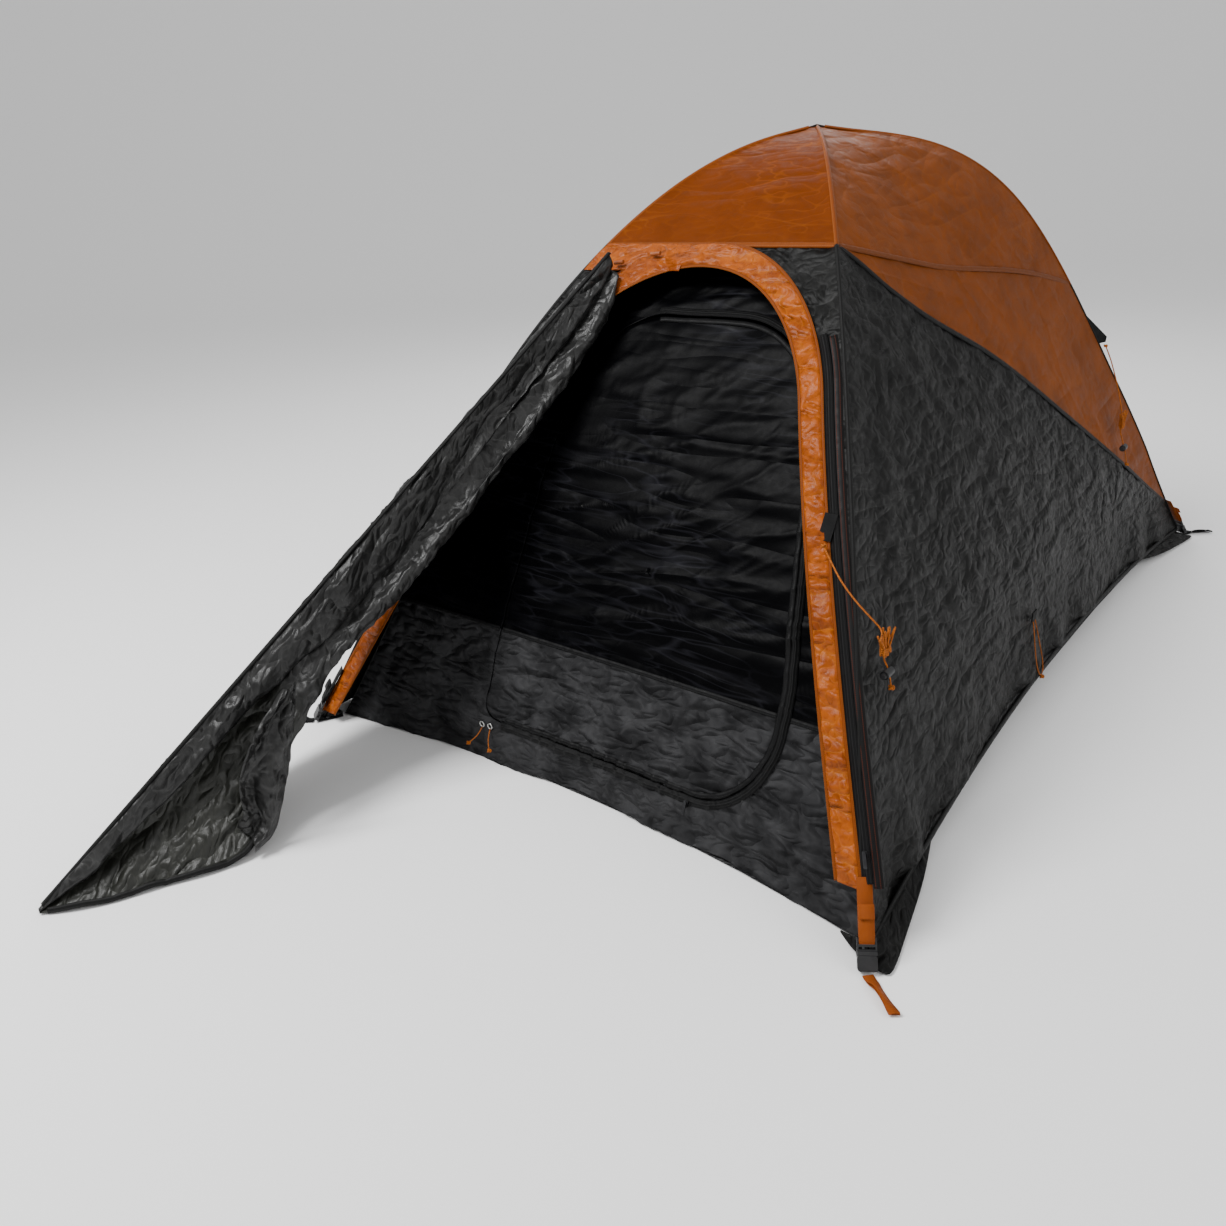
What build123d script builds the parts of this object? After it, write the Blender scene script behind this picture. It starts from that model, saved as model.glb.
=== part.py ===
from build123d import *
import math
import os

# Two-person dome tent on two crossed poles, with its fly pitched and its porch flap pulled back.
# Millimetres. The origin is on the ground, midway between the four pole feet.
# +Z is up, the door faces -Y, and +X is on the right of someone who looks at the door from outside.

os.makedirs("parts", exist_ok=True)

# Driving dimensions of the fly
half_width = 700.0
half_length = 1100.0
fly_crown = 1200.0
bend_power = 1.95
lift_power = 1.05
cloth = 2.0
skirt_top = 300.0
side_bow = 40.0
end_bow = 35.0
hem_at_corner = 14.0
hem_at_middle = 58.0
front_seam_height = 1000.0
rear_seam_height = 800.0
split_middle = (20.0, 668.0)
split_rear_height = 115.0

# Poles and inner tent, set back from the fly
pole_radius = 4.25
pole_reach_share = 0.985
upper_pole_drop = 14.0
lower_pole_drop = 24.0
sections_per_half = 4
ferrule_length = 60.0
inner_share = 0.955
inner_crown = 1142.0
floor_thickness = 2.0

# Arch round the porch opening, drawn on an upright plane that faces the door
arch_centre_height = 611.0
arch_radius = 392.0
arch_band_width = 40.0
arch_foot_height = 108.0
leg_lean = math.radians(24.3)

# Door of the inner tent, drawn on the same plane
door_outline = [(-250, 92), (436, 92), (436, 300), (310, 872), (-250, 872)]
door_corner_radii = [40, 150, 200, 260, 180]
door_gap = 3.0

# Porch flap: its ridge runs from the head to the tip, and its back edge comes off the left arch leg at the foot
flap_head = Vector(-215, -500, 990)
flap_tip = Vector(-568, -1812, 9)
flap_foot = Vector(-618, -1045, 225)

# Webbing and buckles
webbing_width = 25.0
webbing_thickness = 2.0
buckle_width = 31.0
buckle_thickness = 9.0
buckle_offset = 5.5

guyline_diameter = 3.0

diagonal = math.hypot(half_width, half_length)
inner_half_width = half_width * inner_share
inner_half_length = half_length * inner_share


def height_at(share, crown):
    """Height of a dome at a share of its reach: 1 is the foot and 0 is the hub."""
    return crown * (1 - share ** bend_power) ** lift_power


def share_at(height, crown):
    return (1 - (height / crown) ** (1 / lift_power)) ** (1 / bend_power)


def lean_at(height, reach, crown):
    """Angle of a face above the ground at a height."""
    share = share_at(height, crown)
    step = 0.001
    return math.atan2(height_at(share - step, crown) - height_at(share, crown), reach * step)


def keep(name, shapes):
    solids = [solid for shape in shapes for solid in shape.solids()]
    whole = solids[0] if len(solids) == 1 else Compound(children=solids)
    export_step(whole, f"parts/{name}.step")
    print(f"{name}: {len(solids)} solid(s), {sum(s.volume for s in solids) / 1000:.1f} cm3")


def flat_face(points):
    return make_face(Polyline(*points, close=True))


def prism_along_x(outline, length=1300):
    """A block whose outline is drawn as (y, z), running a length both ways along X."""
    return extrude(flat_face([(0, y, z) for y, z in outline]), length, dir=(1, 0, 0), both=True)


def prism_along_y(outline, near=-1400, far=0):
    """A block whose outline is drawn as (x, z), from near to far along Y."""
    return extrude(flat_face([(x, near, z) for x, z in outline]), far - near, dir=(0, 1, 0))


# A dome face looks along +X: cloth curves from the skirt's top to the crown, and the skirt below it
# runs down to a hem that bows in between the corners. Both ends are mitred on the diagonals.


def upper_face(reach, side_reach, crown):
    heights = [skirt_top, 420, 540, 660, 780, 890, 985, 1060, 1108]
    outer = [(reach * share_at(h, crown), h) for h in heights]
    inner = [(outer[0][0] - cloth / math.sin(lean_at(skirt_top, reach, crown)), skirt_top)]
    for distance, height in outer[1:]:
        lean = lean_at(height, reach, crown)
        inner.append((distance - cloth * math.sin(lean), height - cloth * math.cos(lean)))
    outer_edge = Spline(*[(d, 0, h) for d, h in outer + [(0, crown)]])
    inner_edge = Spline(*[(d, 0, h) for d, h in inner + [(0, crown - cloth)]])
    ends = [Line(outer_edge @ 0, inner_edge @ 0), Line(outer_edge @ 1, inner_edge @ 1)]
    strip = make_face(Wire([outer_edge.edge(), ends[0].edge(), inner_edge.edge(), ends[1].edge()]))
    sheet = extrude(strip, side_reach, dir=(0, 1, 0), both=True)
    wedge = extrude(flat_face([(0, 0, 0), (2 * reach, -2 * side_reach, 0), (2 * reach, 2 * side_reach, 0)]),
                    crown + 10, dir=(0, 0, 1))
    return sheet & wedge


def skirt_section(reach, side_reach, wall, bow, height):
    inner_reach = reach - wall
    inner_side = side_reach - wall * side_reach / reach
    corners = [Vector(reach, -side_reach, height), Vector(reach, side_reach, height),
               Vector(inner_reach, inner_side, height), Vector(inner_reach, -inner_side, height)]
    if bow:
        outer = ThreePointArc(corners[0], Vector(reach - bow, 0, height), corners[1])
        inner = ThreePointArc(corners[2], Vector(inner_reach - bow, 0, height), corners[3])
    else:
        outer = Line(corners[0], corners[1])
        inner = Line(corners[2], corners[3])
    return make_face(Wire([outer.edge(), Line(corners[1], corners[2]).edge(),
                           inner.edge(), Line(corners[3], corners[0]).edge()]))


def dome_face(reach, side_reach, crown, bow):
    wall = cloth / math.sin(lean_at(skirt_top, reach, crown))
    share = share_at(skirt_top, crown)
    skirt = loft([skirt_section(reach * share, side_reach * share, wall, 0, skirt_top),
                  skirt_section(reach, side_reach, wall, bow, 0)], ruled=True)
    return upper_face(reach, side_reach, crown) + skirt


def hem_cut(side_reach):
    """The block below a hem that rises from its corners to its middle, seen along X."""
    edge = side_reach + 60
    hem = ThreePointArc((0, -edge, hem_at_corner), (0, 0, hem_at_middle), (0, edge, hem_at_corner))
    below = Polyline((0, edge, hem_at_corner), (0, edge, -60), (0, -edge, -60), (0, -edge, hem_at_corner))
    return extrude(make_face(Wire([hem.edge()] + list(below.edges()))), 1300, dir=(1, 0, 0), both=True)


def skin_point(along, height, reach, side_reach, crown, bow):
    """Distance of a dome face from the Z axis, at a place along it and a height."""
    if height >= skirt_top:
        return reach * share_at(height, crown)
    top = reach * share_at(skirt_top, crown)
    drop = 1 - height / skirt_top
    middle = 1 - min(1, (along / side_reach) ** 2)
    return top + drop * (reach - bow * middle - top)


def mirrored(shape):
    return mirror(shape, about=Plane.YZ)


# Outline of the arch: a round top between two straight legs that lean outwards


def arch_outline(radius):
    turn = leg_lean
    shoulder = (radius * math.cos(turn), arch_centre_height + radius * math.sin(turn))
    foot_x = shoulder[0] + shoulder[1] * math.tan(turn)
    right_leg = Line((shoulder[0], -1400, shoulder[1]), (foot_x, -1400, 0))
    top = ThreePointArc((shoulder[0], -1400, shoulder[1]), (0, -1400, arch_centre_height + radius),
                        (-shoulder[0], -1400, shoulder[1]))
    left_leg = Line((-shoulder[0], -1400, shoulder[1]), (-foot_x, -1400, 0))
    sill = Line((-foot_x, -1400, 0), (foot_x, -1400, 0))
    outline = make_face(Wire([right_leg.edge(), top.edge(), left_leg.edge(), sill.edge()]))
    return extrude(outline, 1400, dir=(0, 1, 0))


def leg_x(height, gap):
    """X of a line that runs beside the right arch leg, a gap outside the band."""
    radius = arch_radius + gap
    shoulder = arch_centre_height + radius * math.sin(leg_lean)
    return radius * math.cos(leg_lean) + (shoulder - height) * math.tan(leg_lean)


# Fly

side_face = dome_face(half_width, half_length, fly_crown, side_bow) - hem_cut(half_length)
end_face = dome_face(half_length, half_width, fly_crown, 0)
front_shell = Rot(0, 0, -90) * end_face
back_shell = Rot(0, 0, 90) * (dome_face(half_length, half_width, fly_crown, end_bow) - hem_cut(half_width))

above_front_seam = prism_along_y([(-900, front_seam_height), (900, front_seam_height),
                                  (900, 1300), (-900, 1300)])
above_feet = prism_along_y([(-900, arch_foot_height), (900, arch_foot_height),
                            (900, front_seam_height), (-900, front_seam_height)])
front_lower = front_shell & above_feet
arch_outside = arch_outline(arch_radius)
arch_inside = arch_outline(arch_radius - arch_band_width)
front_wings = (front_lower - arch_outside).solids().sort_by(Axis.X)

keep("fly_front_top", [front_shell & above_front_seam])
keep("fly_front_left", [front_wings[0]])
keep("fly_front_right", [front_wings[-1]])
keep("arch_band", [(front_lower & arch_outside) - arch_inside])

seam_front = half_length * share_at(front_seam_height, fly_crown)
seam_rear = half_length * share_at(rear_seam_height, fly_crown)
split_rear = half_length * share_at(split_rear_height, fly_crown)
above_side_seam = prism_along_x([(-seam_front, front_seam_height), (seam_rear, rear_seam_height),
                                 (1300, rear_seam_height), (1300, 1300), (-1300, 1300),
                                 (-1300, front_seam_height)])
split_curve = Spline((0, -seam_front, front_seam_height), (0, -320, 875), (0, *split_middle), (0, 530, 386),
                     (0, split_rear, split_rear_height))
below_split_edges = Polyline((0, split_rear, split_rear_height), (0, 1300, split_rear_height - 60),
                             (0, 1300, -60), (0, -1300, -60), (0, -1300, front_seam_height),
                             (0, -seam_front, front_seam_height))
below_split = extrude(make_face(Wire([split_curve.edge()] + list(below_split_edges.edges()))),
                      1300, dir=(1, 0, 0), both=True)
side_crown = side_face & above_side_seam
side_rest = side_face - above_side_seam
side_lower = side_rest & below_split
side_top = side_rest - below_split
for side, place in (("right", lambda shape: shape), ("left", mirrored)):
    keep(f"fly_{side}_crown", [place(side_crown)])
    keep(f"fly_{side}_top", [place(side_top)])
    keep(f"fly_{side}_lower", [place(side_lower)])

above_back_seam = extrude(flat_face([(-900, 0, rear_seam_height), (900, 0, rear_seam_height),
                                     (900, 0, 1300), (-900, 0, 1300)]), 1400, dir=(0, 1, 0))
keep("fly_back_crown", [back_shell & above_back_seam])
keep("fly_back_panel", [back_shell - above_back_seam])

# Inner tent: a flat floor, three plain walls and a front wall with the door cut out of it

inner_side = dome_face(inner_half_width, inner_half_length, inner_crown, side_bow)
inner_end = dome_face(inner_half_length, inner_half_width, inner_crown, end_bow)
above_floor = Pos(0, 0, floor_thickness + 700) * Box(3000, 3000, 1400)
floor_corners = [(inner_half_width, -inner_half_length), (inner_half_width, inner_half_length),
                 (-inner_half_width, inner_half_length), (-inner_half_width, -inner_half_length)]
floor_middles = [(inner_half_width - side_bow, 0), (0, inner_half_length - end_bow),
                 (side_bow - inner_half_width, 0), (0, end_bow - inner_half_length)]
floor_edges = [ThreePointArc(floor_corners[i], floor_middles[i], floor_corners[(i + 1) % 4]).edge()
               for i in range(4)]
keep("inner_floor", [extrude(make_face(Wire(floor_edges)), floor_thickness, dir=(0, 0, 1))])

right_wall = inner_side & above_floor
keep("inner_right_wall", [right_wall])
keep("inner_left_wall", [mirrored(right_wall)])
keep("inner_back_wall", [Rot(0, 0, 90) * (inner_end & above_floor)])


def door_block(gap):
    outline = FilletPolyline(*[(x, -1400, z) for x, z in door_outline], radius=door_corner_radii, close=True)
    face = make_face(outline)
    if gap:
        face = offset(face, -gap)
    return extrude(face, 1400, dir=(0, 1, 0))


front_wall = Rot(0, 0, -90) * (inner_end & above_floor)
keep("inner_front_wall", [front_wall - door_block(0)])
keep("inner_door", [front_wall & door_block(door_gap)])


def inner_front_y(x, z):
    return -skin_point(x, z, inner_half_length, inner_half_width, inner_crown, end_bow)


def fly_front_y(z):
    return -half_length * share_at(z, fly_crown)


# Poles: each half is a run of rods that follow the dome's diagonal, joined by sleeves


def pole_point(share, drop, toward):
    """A point on a pole, where toward is the (x, y) sign pair of its foot."""
    reach = share * pole_reach_share
    return Vector(toward[0] * half_width * reach, toward[1] * half_length * reach,
                  height_at(share, fly_crown - drop))


def rod(start, middle, end, radius):
    path = ThreePointArc(start, middle, end)
    return sweep(Plane(origin=path @ 0, z_dir=path % 0) * Circle(radius), path=path)


def sleeve(centre, direction):
    plane = Plane(origin=centre, z_dir=direction)
    return extrude(plane * (Circle(pole_radius + 1.6) - Circle(pole_radius + 0.7)), ferrule_length / 2, both=True)


section_shares = [0.995, 0.79, 0.55, 0.285, 0.0]
poles = {
    "pole_a_front": ((1, -1), lower_pole_drop),
    "pole_a_rear": ((-1, 1), lower_pole_drop),
    "pole_b_front": ((-1, -1), upper_pole_drop),
    "pole_b_rear": ((1, 1), upper_pole_drop),
}
sleeves = []
tips = []
clips = []
for name, (toward, drop) in poles.items():
    rods = []
    for low, high in zip(section_shares, section_shares[1:]):
        rods.append(rod(pole_point(low, drop, toward), pole_point((low + high) / 2, drop, toward),
                        pole_point(high, drop, toward), pole_radius))
    keep(name, rods)
    for share in section_shares[1:-1]:
        direction = pole_point(share - 0.01, drop, toward) - pole_point(share + 0.01, drop, toward)
        sleeves.append(sleeve(pole_point(share, drop, toward), direction))
    foot = pole_point(section_shares[0], drop, toward)
    foot_direction = foot - pole_point(section_shares[0] - 0.02, drop, toward)
    tip = extrude(Plane(origin=foot, z_dir=foot_direction) * Circle(3.0), 4)
    tips.append(tip)
    for share in (0.9, 0.67, 0.42, 0.15):
        along = pole_point(share - 0.01, drop, toward) - pole_point(share + 0.01, drop, toward)
        clips.append((pole_point(share, drop, toward), along))
for toward, drop in (((1, -1), lower_pole_drop), ((1, 1), upper_pole_drop)):
    sleeves.append(sleeve(pole_point(0, drop, toward), Vector(half_width * toward[0], half_length * toward[1], 0)))
keep("pole_sleeves", sleeves)
keep("pole_tips", tips)


def pole_clip(centre, along):
    """A hook that grips a pole, with a flat stem below it towards the inner tent."""
    plane = Plane(origin=centre, x_dir=Vector(0, 0, 1).cross(along), z_dir=along)
    ring = Circle(pole_radius + 2.0) - Circle(pole_radius + 0.3)
    mouth = Pos(0, pole_radius + 1.5) * Rectangle(4, 5)
    stem = Pos(0, -pole_radius - 6.0) * Rectangle(7, 9)
    return extrude(plane * (ring - mouth + (stem - Circle(pole_radius + 0.3))), 6, both=True)


keep("pole_clips", [pole_clip(centre, along) for centre, along in clips])

# Porch flap: a side panel from the ridge back to the arch leg, and the door half gathered along the ridge

ridge = flap_tip - flap_head
ridge_flat = Vector(ridge.X, ridge.Y, 0).normalized()
toward_door = Vector(-ridge_flat.Y, ridge_flat.X, 0)
flap_up = Vector(0, 0, 1)


def ridge_point(share):
    return flap_head + ridge * share


def gathered_section(share, drop, splay, thickness):
    top = ridge_point(share)
    points = [top + toward_door * 3, top + toward_door * (3 + thickness) - flap_up * min(6, drop / 3),
              top + toward_door * (splay + thickness) - flap_up * drop, top + toward_door * splay - flap_up * drop]
    return Face(Wire.make_polygon(points, close=True))


gathered_stations = [(0.0, 28, 70, 45), (0.06, 74, 62, 45), (0.15, 128, 40, 42), (0.3, 178, 20, 40), (0.45, 165, 18, 38),
                     (0.6, 140, 28, 36), (0.7, 225, 70, 36), (0.79, 204, 112, 30), (0.88, 118, 78, 22),
                     (0.95, 49, 38, 14), (0.985, 12, 10, 8)]
gathered = [gathered_section(*station) for station in gathered_stations]
keep("vestibule_door_panel", [loft(gathered, ruled=True)])


def side_section(share):
    top = ridge_point(share) - toward_door * 2
    if share <= 0.5:
        back = flap_head + (flap_foot - flap_head) * (share / 0.5)
    else:
        run = (share - 0.5) / 0.5
        back = flap_foot + (flap_tip - flap_foot) * run - flap_up * (70 * math.sin(math.pi * run))
    back = back - toward_door * 6
    bulge = toward_door * (-45 * math.sin(math.pi * min(1, share * 1.05)))
    middle = (top + back) * 0.5 + bulge
    shift = toward_door * -4
    points = [top, middle, back, back + shift, middle + shift, top + shift]
    return Face(Wire.make_polygon(points, close=True))


keep("vestibule_side_panel", [loft([side_section(s) for s in (0.05, 0.2, 0.35, 0.5, 0.65, 0.8, 0.9, 0.97)],
                                   ruled=True)])

# Zip of the porch beside the right arch leg, its slider, and the ties that hold the flap back

lift_off = Vector(0, -0.82, 0.57)
zip_gap = 9.0
zip_width = 14.0
zip_low = 125.0
zip_high = 745.0
zip_outline = [(leg_x(zip_low, zip_gap), zip_low), (leg_x(zip_low, zip_gap + zip_width), zip_low),
               (leg_x(zip_high, zip_gap + zip_width), zip_high), (leg_x(zip_high, zip_gap), zip_high)]
zip_tape = (Pos(*(lift_off * 2.6)) * front_shell) & prism_along_y(zip_outline)
keep("vestibule_zip", [zip_tape])


def slider(centre, outward, up):
    """A zip slider with its puller, lying on cloth that faces outward."""
    plane = Plane(origin=centre, x_dir=up.cross(outward), z_dir=outward)
    body = extrude(plane * RectangleRounded(9, 13, 2.5), 5)
    bridge = extrude(plane.offset(5) * RectangleRounded(4, 8, 1.5), 2)
    puller = extrude(plane.offset(7) * (Pos(0, -8) * RectangleRounded(6, 26, 2.5)), 1.6)
    return [body + bridge + puller]


def zip_point(height):
    x = leg_x(height, zip_gap + zip_width / 2)
    return Vector(x, fly_front_y(height), height) + lift_off * 7.4


def arc_axis(start, middle, end):
    """Centre and unit axis of the circle through three points."""
    arc = ThreePointArc(start, middle, end).edge()
    return arc.arc_center, arc.normal()


slider_start = zip_point(zip_low + 25)
slider_middle = zip_point((zip_low + zip_high) / 2)
slider_end = zip_point(zip_high - 45)
slider_up = (zip_point(zip_low + 60) - zip_point(zip_low - 5)).normalized()
slider_out = Vector(1, 0, 0).cross(slider_up).normalized()
keep("vestibule_zip_slider", slider(slider_start, slider_out, slider_up))


def door_zip_point(angle):
    radius = door_corner_radii[1] + 10
    centre_x = door_outline[1][0] - door_corner_radii[1]
    centre_z = door_outline[1][1] + door_corner_radii[1]
    x = centre_x + radius * math.cos(angle)
    z = centre_z + radius * math.sin(angle)
    return Vector(x, inner_front_y(x, z) - 3.0, z)


corner_points = [door_zip_point(math.radians(a)) for a in (-90, -45, 0)]
corner_centre, corner_axis = arc_axis(*corner_points)
if corner_axis.Y > 0:
    corner_axis = -corner_axis
outward_from_start = (corner_points[0] - corner_centre).normalized()
keep("door_zip_slider", slider(corner_points[0], corner_axis, -outward_from_start))

toggle_places = [(-205, 962), (-120, 978)]
toggles = []
for x, z in toggle_places:
    centre = Vector(x, fly_front_y(z), z) + lift_off * 12
    toggles.append(extrude(Plane(origin=centre, z_dir=(1, 0, 0.1)) * Circle(4), 12, both=True))
keep("flap_toggles", toggles)

# Corners: strap, buckle, stake loop and the tab that holds the pole's tip


def corner_plane(toward):
    outward = Vector(toward[0] * half_width, toward[1] * half_length, 0).normalized()
    return Plane(origin=(toward[0] * half_width, toward[1] * half_length, 0), x_dir=outward, z_dir=(0, 0, 1))


corner_slope = math.atan2(height_at(0.93, fly_crown), diagonal * 0.07)
up_strap = (-math.cos(corner_slope), math.sin(corner_slope))
off_strap = (math.sin(corner_slope), math.cos(corner_slope))


def strap_frame(toward, off):
    """A plane on the corner, with X across the strap, Y up along it, and its origin off the cloth."""
    base = corner_plane(toward)
    outward = base.x_dir
    origin = base.origin + outward * (off * off_strap[0]) + Vector(0, 0, off * off_strap[1])
    normal = outward * off_strap[0] + Vector(0, 0, off_strap[1])
    upward = outward * up_strap[0] + Vector(0, 0, up_strap[1])
    return Plane(origin=origin, x_dir=upward.cross(normal), z_dir=normal)


def plate(frame, x, y, width, length, thickness):
    """A flat piece on a strap frame, from y up to y + length, centred on x."""
    return extrude(frame * (Pos(x, y + length / 2) * Rectangle(width, length)), thickness)


def buckle_socket(toward):
    frame = strap_frame(toward, buckle_offset)
    shell = extrude(frame * (Pos(0, 12) * RectangleRounded(buckle_width, 24, 4)), buckle_thickness)
    cavity = plate(strap_frame(toward, buckle_offset + 2), 0, 6, 25, 30, buckle_thickness - 4)
    windows = plate(strap_frame(toward, buckle_offset + 2), 0, 10, 60, 9, buckle_thickness - 4)
    return shell - cavity - windows


def buckle_tongue(toward):
    outer = strap_frame(toward, buckle_offset)
    middle = strap_frame(toward, buckle_offset + 2.5)
    collar = plate(outer, 0, 24.5, buckle_width, 6, buckle_thickness)
    arms = [plate(middle, x, 8, 4, 17, 4) for x in (-9.5, 0, 9.5)]
    frame = plate(middle, 0, 30, buckle_width, 21, 4)
    slots = [plate(middle, 0, y, 26, 4, 4) for y in (33, 41)]
    return collar + arms + frame - slots


def stake_loop(toward):
    base = corner_plane(toward)
    outline = Pos(54, 0) * RectangleRounded(78, webbing_width, 8) - Pos(74, 0) * SlotOverall(30, 11)
    return extrude(base.offset(0.6) * outline, webbing_thickness)


def corner_tab(toward):
    base = corner_plane(toward)
    hole_at = (pole_reach_share * section_shares[0] - 1) * diagonal + 5
    outline = Pos(-26, 0) * Rectangle(58, webbing_width) - Pos(hole_at, 0) * Circle(6.5)
    return extrude(base.offset(0.6) * outline, webbing_thickness)


corners = {"fr": (1, -1), "fl": (-1, -1), "rr": (1, 1), "rl": (-1, 1)}
keep("corner_straps", [plate(strap_frame(toward, 3), 0, 46, webbing_width, 96, webbing_thickness)
                       for toward in corners.values()])
keep("corner_tabs", [corner_tab(toward) for toward in corners.values()])
keep("buckle_sockets", [buckle_socket(toward) for toward in corners.values()])
for corner, toward in corners.items():
    keep(f"buckle_tongue_{corner}", [buckle_tongue(toward)])
    keep(f"stake_loop_{corner}", [stake_loop(toward)])

# Guylines: each leaves a sewn tab, hangs to a gathered hank and ends in its cord lock


def cord_tube(name, points, diameter):
    route = [Vector(*p) for p in points]
    radii = []
    for before, here, after in zip(route, route[1:], route[2:]):
        turn = (here - before).get_angle(after - here)
        shorter = min((here - before).length, (after - here).length)
        radii.append(0.45 * shorter / math.tan(math.radians(turn) / 2))
    path = FilletPolyline(*route, radius=radii)
    tube = sweep(Plane(origin=path @ 0, z_dir=path % 0) * Circle(diameter / 2), path=path)
    length = path.length
    print(f"{name}: {length:.0f} mm long, radii {[round(r) for r in radii]} mm,"
          f" volume over section times length {tube.volume / (length * math.pi * diameter ** 2 / 4):.3f}")
    keep(name, [tube])


def hank(centre, size):
    """The outer shape of cord folded to and fro: a block with rounded corners."""
    block = Box(*size)
    return Pos(*centre) * fillet(block.edges(), min(size) * 0.42)


front_line = [(452, -800, 560), (474, -818, 546), (503, -838, 523), (533, -843, 495), (560, -838, 468), (578, -827, 444)]
rear_line = [(489, 752, 622), (507, 738, 597), (524, 721, 568), (541, 704, 537), (557, 688, 503), (572, 672, 466)]
front_tail = [(580, -826, 394), (588, -825, 380), (593, -824.5, 362), (596, -824.5, 344)]
rear_tail = [(574, 670, 416), (586, 668.5, 388), (597, 668, 358), (604, 668, 328)]
hank_size = (16, 42, 50)
cord_tube("front_guyline", front_line, guyline_diameter)
keep("front_guyline_hank", [hank((579, -827, 419), hank_size)])
cord_tube("front_guyline_tail", front_tail, guyline_diameter)
cord_tube("rear_guyline", rear_line, guyline_diameter)
keep("rear_guyline_hank", [hank((573, 671, 441), hank_size)])
cord_tube("rear_guyline_tail", rear_tail, guyline_diameter)

# Cord locks: a barrel across each tail, with a sprung button in its near end
lock_radius = 8.0
lock_length = 24.0
button_radius = 5.0
button_length = 14.0
button_seat = 8.0
button_travel = 4.0


def cord_lock(cord_at):
    """A barrel that points along Y, held by a cord that runs through the hole behind its button."""
    x, y, z = cord_at
    face = y - lock_length + 7
    barrel = extrude(Plane(origin=(x, face, z), z_dir=(0, 1, 0)) * Circle(lock_radius), lock_length)
    bore = extrude(Plane(origin=(x, face, z), z_dir=(0, 1, 0)) * Circle(button_radius + 0.15),
                   button_seat + button_travel + 0.3)
    return barrel - bore


def lock_button(cord_at):
    x, y, z = cord_at
    face = y - lock_length + 7
    start = face + button_seat - button_length
    return extrude(Plane(origin=(x, start, z), z_dir=(0, 1, 0)) * Circle(button_radius), button_length)


def cord_hole(start, end):
    """A straight hole for the stretch of a tail that crosses its lock."""
    low = Vector(*start)
    direction = Vector(*end) - low
    return extrude(Plane(origin=low + direction / 2, z_dir=direction) * Circle(guyline_diameter / 2 + 1.3),
                   2 * lock_radius, both=True)


front_lock_at = tuple((a + b) / 2 for a, b in zip(front_tail[1], front_tail[2]))
rear_lock_at = tuple((a + b) / 2 for a, b in zip(rear_tail[1], rear_tail[2]))
front_hole = cord_hole(front_tail[1], front_tail[2])
rear_hole = cord_hole(rear_tail[1], rear_tail[2])
keep("cord_locks", [cord_lock(front_lock_at) - front_hole, cord_lock(rear_lock_at) - rear_hole])
keep("front_lock_button", [lock_button(front_lock_at)])
keep("rear_lock_button", [lock_button(rear_lock_at)])

# Loop that hangs at the middle of the right hem, and the two tie ends under the door
loop_diameter = 2.5
side_loop = [(625, -127, 184), (631, -131, 160), (637, -135, 132), (643, -138, 104), (649, -138, 80), (653, -131, 62),
             (655, -119, 55), (654, -109, 64), (650, -105, 84), (644, -106, 108), (637, -108, 134), (631, -111, 160),
             (625, -114, 184)]
cord_tube("side_loop", side_loop, loop_diameter)

ring_radius = 6.0
ring_wire = 1.2
tie_places = {"left": (-247, 80, -30), "right": (-224, 81, 10)}
rings = []
for side, (x, z, sway) in tie_places.items():
    y = inner_front_y(x, z) - 7
    rings.append(Pos(x, y, z) * Rot(90, 0, 0) * Torus(ring_radius, ring_wire))
    low = z - ring_radius - ring_wire
    tie = [(x, y - 1, low), (x + sway * 0.12, y - 9, low - 13), (x + sway * 0.5, y - 16, low - 27),
           (x + sway, y - 20, low - 40)]
    cord_tube(f"tie_end_{side}", tie, loop_diameter)
keep("tie_rings", rings)

# Sewn tabs that the guylines and the loop hang from


def front_tab(shell):
    rectangle = [(434, 564), (458, 564), (458, 604), (434, 604)]
    return (Pos(*(lift_off * 5.4)) * shell) & prism_along_y(rectangle)


def rear_tab():
    """A triangle that stands out of the rear corner seam, in the plane of its pole."""
    plane = Plane(origin=(0, 0, 0), x_dir=(half_width / diagonal, half_length / diagonal, 0),
                  z_dir=(half_length, -half_width, 0))
    top, low, middle = 748, 628, 690
    seam = [(diagonal * share_at(z, fly_crown) + 1.0, z) for z in (top, middle, low)]
    outline = [*seam, (seam[2][0] + 26, low + 2), (seam[2][0] + 28, low + 16)]
    face = make_face(plane * Polyline(*outline, close=True))
    return extrude(face, 1.5, both=True)


def side_tab():
    x = skin_point(-120, 195, half_width, half_length, fly_crown, side_bow)
    return Pos(x + 4, -120, 196) * Box(3, 26, 22)


tab_shell = Rot(0, 0, -90) * end_face
tabs = [front_tab(tab_shell), rear_tab(), side_tab()]
keep("guy_tabs", tabs + [mirrored(tab) for tab in tabs])
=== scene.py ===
import math

import bmesh
import bpy
import numpy as np
from mathutils import Matrix, Vector


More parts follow.
